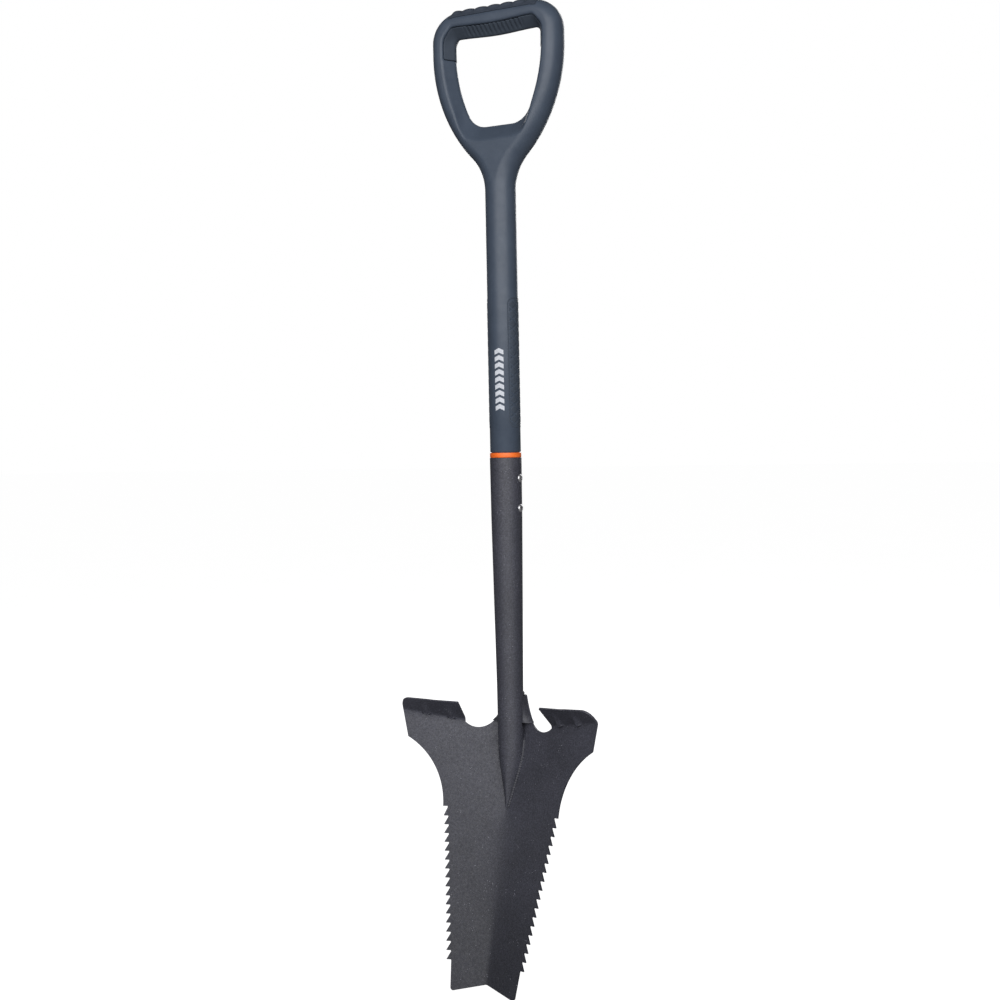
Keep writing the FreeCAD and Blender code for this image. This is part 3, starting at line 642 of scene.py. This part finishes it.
def make_blade(material):
    """One pressed sheet: V section, saw teeth, notches and folded treads with stiffening darts."""
    half, fold_start, fold_end = blade_outline()
    left = [(-x, z) for x, z in reversed(half) if x > 1e-9]
    loop = half + left
    count = len(loop)
    points = [Vector(p) for p in loop]
    edges = [(i, (i + 1) % count) for i in range(count)]
    top_index = len(half) - 1
    spacing = 4.0
    crease_spots = np.arange(TIP_NOTCH_Z + spacing, NECK_TOP - 2, spacing)
    previous = 0
    for level in crease_spots:
        points.append(Vector((0.0, float(level))))
        edges.append((previous, len(points) - 1))
        previous = len(points) - 1
    edges.append((previous, top_index))
    outline = np.array(loop)
    spots_x, spots_z = np.meshgrid(np.arange(-108, 109, spacing), np.arange(-726, NECK_TOP - 1, spacing))
    inside = inside_distance(outline, spots_x, spots_z)
    near_crease = np.array([1.5, 3.0, 5.0, 8.0])
    kept = (inside > 2.2) & (np.abs(spots_x) > 9.5)
    for x, level in zip(spots_x[kept], spots_z[kept]):
        points.append(Vector((float(x), float(level))))
    for x in np.concatenate([near_crease, -near_crease]):
        for level in crease_spots:
            if inside_distance(outline, np.array([x]), np.array([level]))[0] > 0.8:
                points.append(Vector((float(x), float(level))))
    verts, _, faces, originals, _, _ = delaunay_2d_cdt(points, edges, [list(range(count))], 1, 1e-5)
    bm = bmesh.new()
    front = []
    back = []
    for place in verts:
        spot = sheet_point(place.x, place.y)
        front.append(bm.verts.new(spot))
        back.append(bm.verts.new(spot + SHEET * sheet_normal(place.x, place.y)))
    for face in faces:
        bm.faces.new([front[i] for i in face])
        bm.faces.new([back[i] for i in reversed(face)])
    where = {}
    for index, sources in enumerate(originals):
        for source in sources:
            where[source] = index
    ring = [where[i] for i in range(count)]
    right_fold = ring[fold_start:fold_end + 1]
    left_of = {i: count - i for i in range(1, count)}
    left_fold = [where[left_of[i]] for i in range(fold_start, fold_end + 1)]
    folded = set()
    for fold in (right_fold, left_fold):
        for here, there in zip(fold, fold[1:]):
            folded.add(frozenset((here, there)))
    for here, there in zip(ring, ring[1:] + ring[:1]):
        if frozenset((here, there)) not in folded:
            bm.faces.new((front[here], front[there], back[there], back[here]))
    for side, fold in ((1, right_fold), (-1, left_fold)):
        add_tread(bm, side, fold, front, back)
    return add_object("pressed_blade", bm, material, 32)


def add_tread(bm, side, fold, front, back):
    """Carries the sheet on over the fold and out to the tread's free edge."""
    inner, outer, _, _ = flange_frame(side)
    fold_length = (outer - inner).length
    rows_front = []
    rows_back = []
    for number, index in enumerate(fold):
        share = 1 - number / (len(fold) - 1)
        start = front[index].co.copy()
        normal = (back[index].co - start).normalized()
        base = inner.lerp(outer, share)
        forward = (base - start).normalized()
        row = tread_row(side, share, normal, forward)
        line_front = [front[index]]
        line_back = [back[index]]
        for step, (spot, rear) in enumerate(row):
            spot = spot - rear * dart_depth(share, fold_length, step)
            line_front.append(bm.verts.new(spot))
            line_back.append(bm.verts.new(spot + SHEET * rear))
        rows_front.append(line_front)
        rows_back.append(line_back)
    for low, high in zip(rows_front, rows_front[1:]):
        for k in range(len(low) - 1):
            bm.faces.new((low[k], low[k + 1], high[k + 1], high[k]))
    for low, high in zip(rows_back, rows_back[1:]):
        for k in range(len(low) - 1):
            bm.faces.new((low[k], high[k], high[k + 1], low[k + 1]))
    for low, high in zip(zip(rows_front, rows_back), zip(rows_front[1:], rows_back[1:])):
        bm.faces.new((low[0][-1], low[1][-1], high[1][-1], high[0][-1]))
    for line_front, line_back in ((rows_front[0], rows_back[0]), (rows_front[-1], rows_back[-1])):
        for k in range(len(line_front) - 1):
            bm.faces.new((line_front[k], line_back[k], line_back[k + 1], line_front[k + 1]))


# ---- tube, welds and rivets ----

def tube_radius(level):
    """The tube's outer radius at one level."""
    for (upper_r, upper_z), (lower_r, lower_z) in zip(TUBE_PROFILE, TUBE_PROFILE[1:]):
        if level >= lower_z:
            share = (upper_z - level) / (upper_z - lower_z)
            return upper_r + share * (lower_r - upper_r)
    return TUBE_PROFILE[-1][0]


def cutter(name, bm):
    """A helper solid that cuts a piece and isn't kept."""
    return add_object(name, bm, bpy.data.materials.new("cutter"))


def apply_cuts(piece, cutters):
    """Cuts helper solids from a piece for good and removes them."""
    for tool in cutters:
        modifier = piece.modifiers.new(tool.name, "BOOLEAN")
        modifier.operation = "DIFFERENCE"
        modifier.solver = "EXACT"
        modifier.object = tool
    bpy.context.view_layer.update()
    graph = bpy.context.evaluated_depsgraph_get()
    mesh = bpy.data.meshes.new_from_object(piece.evaluated_get(graph), depsgraph=graph)
    piece.modifiers.clear()
    piece.data = mesh
    for tool in cutters:
        bpy.data.objects.remove(tool)


def seat_y(x, level):
    """Where the tube's cut edge ends: on the blade, and a little off it where a groove shows."""
    groove = GROOVE_DEPTH * smoothstep(*GROOVE_SIDE, x) * smoothstep(*GROOVE_START, level)
    return sheet_point(x, level).y + SEAT_SINK - float(groove)


def seat_block():
    """Everything behind the blade's front face, for the tube's slant cut."""
    levels = np.arange(-600.0, -436.0, 4.0)
    places = np.concatenate([np.arange(-24, -4, 2.0), np.arange(-4, 4.1, 0.5), np.arange(6, 25, 2.0)])
    near = np.array([[[x, seat_y(x, level), level] for x in places] for level in levels])
    far = near.copy()
    far[:, :, 1] = 60.0
    return shell_patch(near, far)


def relief_block():
    """The open notch in each side of the tube, above its tongue."""
    bm = bmesh.new()
    ends = [[bm.verts.new((x, y, level)) for y, level in RELIEF_PROFILE] for x in (-20, 20)]
    bm.faces.new(ends[0])
    bm.faces.new(ends[1])
    bridge(bm, *ends)
    return bm


def narrowed(x, y, level):
    """The tube's nose, squeezed towards a point as it runs down the blade."""
    share = 1 - NOSE_SQUEEZE * float(smoothstep(NOSE_TOP, NOSE_END, level))
    return x * share, y + sheet_point(x * share, level).y - sheet_point(x, level).y


def make_tube(material):
    """Tapered steel tube with an eased top rim and a nose cut to lie on the blade."""
    top_r, top_z = TUBE_PROFILE[0]
    outside = [(top_r - TUBE_RIM_EASE, top_z), (top_r - 0.15, top_z - 0.2), (top_r, top_z - TUBE_RIM_EASE)]
    for (upper_r, upper_z), (lower_r, lower_z) in zip(TUBE_PROFILE, TUBE_PROFILE[1:]):
        spans = max(2, int((upper_z - lower_z) / 12))
        for k in range(1, spans + 1):
            share = k / spans
            outside.append((upper_r + share * (lower_r - upper_r), upper_z + share * (lower_z - upper_z)))
    inside = [(radius - TUBE_WALL, level) for radius, level in reversed(outside[2:])]
    inside.append((top_r - TUBE_WALL, top_z))
    piece = add_object("socket_tube", lathe(outside + inside, 112), material, 30)
    apply_cuts(piece, [cutter("seat", seat_block()), cutter("relief", relief_block())])
    for vert in piece.data.vertices:
        x, y, level = (a / MM for a in vert.co)
        if level < NOSE_TOP:
            x, y = narrowed(x, y, level)
            vert.co = (x * MM, y * MM, level * MM)
    piece.data.shade_smooth()
    piece.data.set_sharp_from_angle(angle=math.radians(32))
    return piece


def nose_contact(level, radius_extra):
    """Where the blade's front face is a little outside the tube on the right, at one level."""
    radius = tube_radius(level) + radius_extra
    slope = wing_slope(level)
    centre = crease_y(level)
    a = 1 + slope ** 2
    b = -2 * slope * centre
    c = centre ** 2 - radius ** 2
    x = (-b + math.sqrt(max(0.0, b * b - 4 * a * c))) / (2 * a)
    return Vector((x, centre - slope * x, level))


def bead(name, path, radius, material):
    """A weld bead along a path: a round rope of metal with cast ripples and tapering ends."""
    bm = bmesh.new()
    sides = 14
    ripple, ripple_pitch = 0.16, 2.4
    end_gap, end_run = 0.3, 4.0
    rings = []
    travelled = 0.0
    total = sum((b - a).length for a, b in zip(path, path[1:]))
    for number, spot in enumerate(path):
        if number:
            travelled += (spot - path[number - 1]).length
        before = path[max(0, number - 1)]
        after = path[min(len(path) - 1, number + 1)]
        along = (after - before).normalized()
        side = along.cross(Vector((0, 1, 0))).normalized()
        over = side.cross(along)
        taper = min(1.0, (travelled + end_gap) / end_run, (total - travelled + end_gap) / end_run) ** 0.5
        size = radius * taper * (1 + ripple * math.sin(2 * math.pi * travelled / ripple_pitch))
        ring = []
        for k in range(sides):
            angle = 2 * math.pi * k / sides
            ring.append(bm.verts.new(spot + size * (math.cos(angle) * side + math.sin(angle) * over)))
        rings.append(ring)
    for low, high in zip(rings, rings[1:]):
        bridge(bm, low, high)
    bm.faces.new(rings[0])
    bm.faces.new(rings[-1])
    return add_object(name, bm, material, 60)


def neck_fill(side, material):
    """Weld metal that fills the corner between the tube's side and the edge of the blade's neck."""
    rows, columns = 27, 12
    ripple, ripple_pitch, crown_height = 0.12, 2.6, 0.7
    top, foot = NECK_WELD_EDGE[0][1], NECK_WELD_EDGE[-1][1]
    levels = np.linspace(top, foot, rows)
    edge_x = np.interp(-levels, [-z for _, z in NECK_WELD_EDGE], [x for x, _ in NECK_WELD_EDGE])
    outer = []
    for level, wide in zip(levels, edge_x):
        radius = tube_radius(level)
        lift = smoothstep(top, top - 9.0, level)
        start = np.array([radius * 0.985, 3.2 - 2.4 * lift])
        reach = sheet_point(wide, level)
        end = np.array([reach.x - 0.2, reach.y + 0.1])
        row = []
        wave = math.sin(2 * math.pi * level / ripple_pitch)
        for share in np.linspace(0.0, 1.0, columns):
            crown = math.sin(math.pi * share)
            place = start + share * (end - start)
            bulge = (crown_height * float(lift) + ripple * wave * crown) * crown
            row.append((side * (place[0] + 0.35 * bulge), place[1] - bulge, level))
        outer.append(row)
    outer = np.array(outer)
    inner = outer.copy()
    inner[:, :, 0] *= 0.97
    inner[:, :, 1] += NECK_WELD_DEPTH
    return add_object("neck_fill", shell_patch(outer, inner), material, 60)


def merge(piece, extra):
    """Adds another piece's mesh to a piece and removes the other."""
    bm = bmesh.new()
    bm.from_mesh(piece.data)
    bm.from_mesh(extra.data)
    bm.to_mesh(piece.data)
    bm.free()
    bpy.data.objects.remove(extra)


def make_welds(material):
    """Fillet beads along both sides of the tube's nose, and one round its back at the blade's neck.

    The right bead is full. The left one is thin and lies deep, in the groove beside the tube.
    """
    levels = np.linspace(*NOSE_BEAD, 110)
    sides = (("weld_bead_right", "weld_right", 1, 1.8, 0.0), ("weld_bead_left", "weld_left", -1, 0.9, 0.9))
    for name, node, side, radius, sunk in sides:
        path = []
        for level in levels:
            spot = nose_contact(float(level), NOSE_BEAD_OFFSET)
            x, y = narrowed(spot.x, spot.y, spot.z)
            path.append(Vector((side * x, y + sunk, spot.z)))
        piece = bead(name, path, radius, material)
        merge(piece, neck_fill(side, material))
        finish_piece(piece, node)
    reach = tube_radius(REAR_BEAD_LEVEL) + REAR_BEAD_OFFSET
    turns = np.radians(np.linspace(90 - REAR_BEAD_HALF_TURN, 90 + REAR_BEAD_HALF_TURN, 60))
    path = [Vector((reach * math.cos(turn), reach * math.sin(turn), REAR_BEAD_LEVEL)) for turn in turns]
    finish_piece(bead("weld_bead_rear", path, 1.7, material), "weld_rear")


def make_rivets(steel, dark):
    """Two set blind rivets: domed sleeves, each with the broken end of its mandrel in the middle."""
    sleeves = bmesh.new()
    mandrels = bmesh.new()
    peak = RIVET_HIGH[0] - 0.02
    dome_end = 64
    for level in (RIVET_LOW[2] + RIVET_HEAD_RADIUS, RIVET_HIGH[2] - RIVET_HEAD_RADIUS):
        face = tube_radius(level) - 0.25
        brim = face + 0.25
        dome = [(face - 2.0, 2.4), (face, 2.4), (face, RIVET_HEAD_RADIUS - 0.25), (brim, RIVET_HEAD_RADIUS)]
        for angle in np.radians(np.arange(8, dome_end + 1, 8)):
            rise = math.sin(angle) / math.sin(math.radians(dome_end))
            dome.append((brim + (peak - brim) * rise, RIVET_HEAD_RADIUS * math.cos(angle)))
        dome += [(peak - 0.25, RIVET_BORE + 0.1), (peak - 0.8, RIVET_BORE), (face - 2.0, RIVET_BORE)]
        add_turned(sleeves, dome, level)
        stub = [(face - 3.0, 0.0), (face - 3.0, MANDREL_RADIUS), (peak - 0.75, MANDREL_RADIUS),
                (peak - 0.55, 0.9), (peak - 0.6, 0.0)]
        add_turned(mandrels, stub, level)
    sleeve = add_object("rivet_domes", sleeves, steel, 40)
    mandrel = add_object("rivet_mandrel_ends", mandrels, dark, 40)
    finish_piece(sleeve, "rivet_sleeves")
    finish_piece(mandrel, "rivet_mandrels")


def add_turned(bm, profile, level, segments=40):
    """Adds a solid turned about the X direction at one level; the profile is (x, radius) points."""
    solid = any(radius == 0 for _, radius in profile)
    rings = []
    for x, radius in profile:
        if radius == 0:
            rings.append([bm.verts.new((x, 0, level))])
            continue
        ring = []
        for k in range(segments):
            angle = 2 * math.pi * k / segments
            ring.append(bm.verts.new((x, radius * math.cos(angle), level + radius * math.sin(angle))))
        rings.append(ring)
    pairs = list(zip(rings, rings[1:]))
    if not solid:
        pairs.append((rings[-1], rings[0]))
    for low, high in pairs:
        for k in range(segments):
            after = (k + 1) % segments
            if len(low) == 1:
                bm.faces.new((low[0], high[after], high[k]))
            elif len(high) == 1:
                bm.faces.new((low[k], low[after], high[0]))
            else:
                bm.faces.new((low[k], low[after], high[after], high[k]))


# ---- materials ----

class Shader:
    """A material's node tree, with short calls for the few nodes these materials use."""

    def __init__(self, name, roughness=0.5, metallic=0.0, specular=0.5):
        self.material = bpy.data.materials.new(name)
        self.material.use_nodes = True
        self.nodes = self.material.node_tree.nodes
        self.links = self.material.node_tree.links
        self.surface = self.nodes["Principled BSDF"]
        self.surface.inputs["Roughness"].default_value = roughness
        self.surface.inputs["Metallic"].default_value = metallic
        self.surface.inputs["Specular IOR Level"].default_value = specular
        self.place = self.nodes.new("ShaderNodeTexCoord").outputs["Object"]

    def node(self, kind, **values):
        """A node with some of its inputs set; an underscore stands for a space in an input's name."""
        node = self.nodes.new("ShaderNode" + kind)
        for name, value in values.items():
            node.inputs[name.replace("_", " ")].default_value = value
        return node

    def noise(self, scale, detail=3.0, roughness=0.55):
        """Soft noise; scale is its features per metre."""
        node = self.node("TexNoise", Scale=scale, Detail=detail, Roughness=roughness)
        self.links.new(self.place, node.inputs["Vector"])
        return node.outputs["Fac"]

    def cells(self, scale):
        """The distance to scattered points; scale is points per metre."""
        node = self.node("TexVoronoi", Scale=scale)
        self.links.new(self.place, node.inputs["Vector"])
        return node.outputs["Distance"]

    def height(self, start, end):
        """0 at one level of the shovel and 1 at another."""
        apart = self.node("SeparateXYZ")
        self.links.new(self.place, apart.inputs["Vector"])
        node = self.node("MapRange", From_Min=start * MM, From_Max=end * MM)
        self.links.new(apart.outputs["Z"], node.inputs["Value"])
        return node.outputs["Result"]

    def ramp(self, factor, stops):
        """A colour between (place, colour) stops."""
        node = self.node("ValToRGB")
        ramp = node.color_ramp
        while len(ramp.elements) < len(stops):
            ramp.elements.new(0.5)
        for element, (place, colour) in zip(ramp.elements, stops):
            element.position = place
            element.color = (*colour, 1.0) if len(colour) == 3 else colour
        self.links.new(factor, node.inputs["Fac"])
        return node.outputs["Color"]

    def mix(self, factor, first, second, blend="MIX"):
        """Two colours mixed or multiplied; each value is a socket, a colour or a number."""
        node = self.node("Mix")
        node.data_type = "RGBA"
        node.blend_type = blend
        for name, value in (("Factor", factor), ("A", first), ("B", second)):
            socket = node.inputs[name]
            if isinstance(value, bpy.types.NodeSocket):
                self.links.new(value, socket)
            elif isinstance(value, tuple):
                socket.default_value = (*value, 1.0)
            else:
                socket.default_value = value
        return node.outputs["Result"]

    def spread(self, factor, low, high):
        """A noise's usual span stretched between two values."""
        node = self.node("MapRange", From_Min=0.3, From_Max=0.7, To_Min=low, To_Max=high)
        self.links.new(factor, node.inputs["Value"])
        return node.outputs["Result"]

    def bump(self, height, distance, strength=1.0, under=None):
        """Surface relief in metres, over finer relief where there is some."""
        node = self.node("Bump", Distance=distance, Strength=strength)
        self.links.new(height, node.inputs["Height"])
        if under is not None:
            self.links.new(under, node.inputs["Normal"])
        return node.outputs["Normal"]

    def set(self, socket, output):
        """Feeds one of the surface's inputs."""
        self.links.new(output, self.surface.inputs[socket])


def moulded_plastic(name, dark, light, roughness):
    """Fine spark-eroded grain on a coloured moulding."""
    shader = Shader(name, roughness=roughness, specular=0.4)
    tone = shader.noise(55, 4)
    shader.set("Base Color", shader.ramp(tone, [(0.3, dark), (0.7, light)]))
    shader.set("Roughness", shader.spread(shader.noise(160, 3), roughness - 0.05, roughness + 0.07))
    fine = shader.bump(shader.noise(2600, 2), 0.00006, 0.6)
    shader.set("Normal", shader.bump(shader.noise(900, 2), 0.00005, 0.5, fine))
    return shader.material


def soft_rubber(name, dark, light):
    """Matt overmoulded rubber with a fine grain."""
    shader = Shader(name, roughness=0.72, specular=0.3)
    tone = shader.noise(70, 4)
    shader.set("Base Color", shader.ramp(tone, [(0.3, dark), (0.7, light)]))
    shader.set("Roughness", shader.spread(shader.noise(220, 3), 0.64, 0.8))
    shader.set("Normal", shader.bump(shader.noise(1800, 3), 0.00008, 0.7))
    return shader.material


# Levels between which painted shade darkens the coat towards the blade's point, to about 0.4 of its colour;
# it stands in for the light falling off down the blade.
COAT_PAINTED_SHADE_LEVELS = (-480.0, -725.0)


def powder_coat(name, dark, light, speck):
    """Rough powder coat: pebbled, cloudy, with scattered light specks, and with painted shade that darkens
    it towards the point, standing in for the light falling off down the blade.
    """
    shader = Shader(name, roughness=0.55, specular=0.5)
    cloud = shader.noise(28, 5, 0.6)
    base = shader.ramp(cloud, [(0.32, dark), (0.68, light)])
    grain = shader.ramp(shader.noise(750, 2), [(0.42, (0.75, 0.75, 0.75)), (0.62, (1.2, 1.2, 1.2))])
    base = shader.mix(1.0, base, grain, "MULTIPLY")
    # Painted shade: a darkening by height, multiplied into the coat's colour.
    painted_shade = shader.ramp(shader.height(*COAT_PAINTED_SHADE_LEVELS), [(0.0, (1, 1, 1)), (1.0, (0.36, 0.37, 0.41))])
    base = shader.mix(1.0, base, painted_shade, "MULTIPLY")
    bright = shader.ramp(shader.cells(520), [(0.10, (1, 1, 1)), (0.2, (0, 0, 0))])
    chosen = shader.ramp(shader.noise(120, 1), [(0.60, (0, 0, 0)), (0.66, (1, 1, 1))])
    mask = shader.mix(1.0, bright, chosen, "MULTIPLY")
    shader.set("Base Color", shader.mix(mask, base, speck))
    shader.set("Roughness", shader.spread(shader.noise(420, 3), 0.46, 0.66))
    pebble = shader.bump(shader.noise(1300, 3), 0.00018, 0.9)
    shader.set("Normal", shader.bump(shader.noise(380, 2), 0.00016, 0.6, pebble))
    return shader.material


def zinc_steel(name, dark, light):
    """Dull plated steel with a spangled tone."""
    shader = Shader(name, roughness=0.34, metallic=0.9)
    tone = shader.noise(600, 3)
    shader.set("Base Color", shader.ramp(tone, [(0.3, dark), (0.7, light)]))
    shader.set("Roughness", shader.spread(shader.noise(900, 2), 0.26, 0.46))
    shader.set("Normal", shader.bump(shader.noise(1500, 2), 0.00005, 0.5))
    return shader.material


def ink(name, dark, light):
    """Pad-printed ink, slightly uneven."""
    shader = Shader(name, roughness=0.5, specular=0.3)
    shader.set("Base Color", shader.ramp(shader.noise(500, 3), [(0.3, dark), (0.6, light)]))
    shader.set("Normal", shader.bump(shader.noise(1600, 2), 0.00003, 0.4))
    return shader.material


# ---- stage ----

CAMERA_PLACE = Vector((0.7114, -1.3206, -0.1948))
CAMERA_YAW = 28.56
CAMERA_PITCH = -2.10
CAMERA_ROLL = -1.12
CAMERA_LENS = 54.0
SENSOR_WIDTH = 36.0
FLOOR_GAP = 0.3
FLOOR_HALF_SIZE = 30000.0
FLOOR_WHITE = 0.97
AMBIENT = 0.09


def make_camera():
    """A camera in front, to the shovel's right, about level with the shaft's middle."""
    camera = bpy.data.cameras.new("camera")
    camera.lens = CAMERA_LENS
    camera.sensor_width = SENSOR_WIDTH
    camera.clip_start = 0.05
    camera.clip_end = 60.0
    piece = bpy.data.objects.new("camera", camera)
    yaw, pitch, roll = (math.radians(a) for a in (CAMERA_YAW, CAMERA_PITCH, CAMERA_ROLL))
    away = Vector((-math.sin(yaw) * math.cos(pitch), math.cos(yaw) * math.cos(pitch), math.sin(pitch)))
    right = Vector((math.cos(yaw), math.sin(yaw), 0))
    up = right.cross(away)
    turned_right = right * math.cos(roll) + up * math.sin(roll)
    turned_up = up * math.cos(roll) - right * math.sin(roll)
    rotation = Matrix((turned_right, turned_up, -away)).transposed()
    piece.matrix_world = Matrix.Translation(CAMERA_PLACE) @ rotation.to_4x4()
    bpy.context.scene.collection.objects.link(piece)
    bpy.context.scene.camera = piece


def seen_white(nodes, links, white, dim):
    """White where the camera looks straight at it, and dim as a light on the object."""
    path = nodes.new("ShaderNodeLightPath")
    mixer = nodes.new("ShaderNodeMix")
    mixer.data_type = "FLOAT"
    mixer.inputs["A"].default_value = dim
    mixer.inputs["B"].default_value = white
    links.new(path.outputs["Is Camera Ray"], mixer.inputs["Factor"])
    return mixer.outputs["Result"]


def make_stage():
    """A pale floor that the blade's tip touches, running on to the horizon."""
    bm = bmesh.new()
    size = FLOOR_HALF_SIZE
    level = BLADE_TIP - FLOOR_GAP
    corners = [bm.verts.new((x * size, y * size, level)) for x, y in ((-1, -1), (1, -1), (1, 1), (-1, 1))]
    bm.faces.new(corners)
    shader = Shader("pale_floor", roughness=0.9, specular=0.1)
    tone = shader.noise(3, 2)
    shader.set("Base Color", shader.ramp(tone, [(0.3, (0.20, 0.20, 0.20)), (0.7, (0.23, 0.23, 0.23))]))
    shader.surface.inputs["Emission Color"].default_value = (1, 1, 1, 1)
    shader.set("Emission Strength", seen_white(shader.nodes, shader.links, FLOOR_WHITE, 0.0))
    floor = add_object("floor", bm, shader.material)


def light_from(name, azimuth, elevation, distance, size, power, target_z):
    """A soft box that looks at the shovel; azimuth 0 is straight in front and 90 is on its +X side.

    Distances and the target's height are in metres.
    """
    a, e = math.radians(azimuth), math.radians(elevation)
    place = Vector((distance * math.sin(a) * math.cos(e), -distance * math.cos(a) * math.cos(e),
                    target_z + distance * math.sin(e)))
    light = bpy.data.lights.new(name, "AREA")
    light.shape = "RECTANGLE"
    light.size, light.size_y = size
    light.energy = power
    piece = bpy.data.objects.new(name, light)
    piece.location = place
    piece.rotation_mode = "QUATERNION"
    piece.rotation_quaternion = (Vector((0, 0, target_z)) - place).to_track_quat("-Z", "Y")
    bpy.context.scene.collection.objects.link(piece)


def make_lights():
    """A wide key in front, a weaker one behind, and a little light from all round."""
    light_from("key", 26, 15, 2.6, (4.6, 2.6), 124, target_z=-0.1)
    light_from("rear", 200, 22, 3.0, (2.6, 1.8), 62, target_z=-0.25)
    world = bpy.data.worlds.new("studio")
    world.use_nodes = True
    background = world.node_tree.nodes["Background"]
    background.inputs["Color"].default_value = (1.0, 1.0, 1.0, 1.0)
    strength = seen_white(world.node_tree.nodes, world.node_tree.links, 1.0, AMBIENT)
    world.node_tree.links.new(strength, background.inputs["Strength"])
    bpy.context.scene.world = world
    bpy.context.scene.view_settings.view_transform = "Standard"


# ---- making ----

make_camera()
make_stage()
make_lights()

plastic = moulded_plastic("blue_grey_moulding", (0.046, 0.061, 0.088), (0.056, 0.073, 0.103), 0.42)
soft = soft_rubber("soft_grip_rubber", (0.038, 0.049, 0.068), (0.048, 0.061, 0.082))
soft_dark = soft_rubber("dark_cap_rubber", (0.028, 0.036, 0.052), (0.037, 0.047, 0.066))
orange = moulded_plastic("orange_moulding", (0.78, 0.13, 0.015), (0.90, 0.18, 0.025), 0.42)
coat = powder_coat("dark_powder_coat", (0.038, 0.039, 0.052), (0.049, 0.050, 0.067), (0.24, 0.24, 0.28))
# A darker copy of the blade's coat for the weld beads and neck fills: painted shade, so that these lit
# strips read as dark as the shaded groove and pocket beside the tube's nose.
weld_coat_painted_shade = powder_coat("coat_with_painted_shade_for_welds", (0.030, 0.031, 0.041), (0.042, 0.043, 0.056), (0.22, 0.22, 0.26))
rivet_steel = zinc_steel("zinc_steel", (0.50, 0.50, 0.52), (0.66, 0.66, 0.68))
dark_steel = zinc_steel("dark_mandrel_steel", (0.06, 0.06, 0.07), (0.12, 0.12, 0.13))
grey_ink = ink("white_ink", (0.46, 0.48, 0.53), (0.56, 0.58, 0.63))

finish_piece(make_handle(plastic), "handle_body")
finish_piece(make_liner(soft), "grip_liner")
finish_piece(make_cap(soft_dark), "grip_cap")
finish_piece(make_side_panel("side_inlay_right", 1, soft), "side_panel_right")
finish_piece(make_side_panel("side_inlay_left", -1, soft), "side_panel_left")
finish_piece(make_ring(orange), "trim_ring")
finish_piece(make_tube(coat), "shaft_tube")
finish_piece(make_blade(coat), "blade")
make_welds(weld_coat_painted_shade)
make_rivets(rivet_steel, dark_steel)
marks = print_marks(grey_ink)
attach(marks, "root")
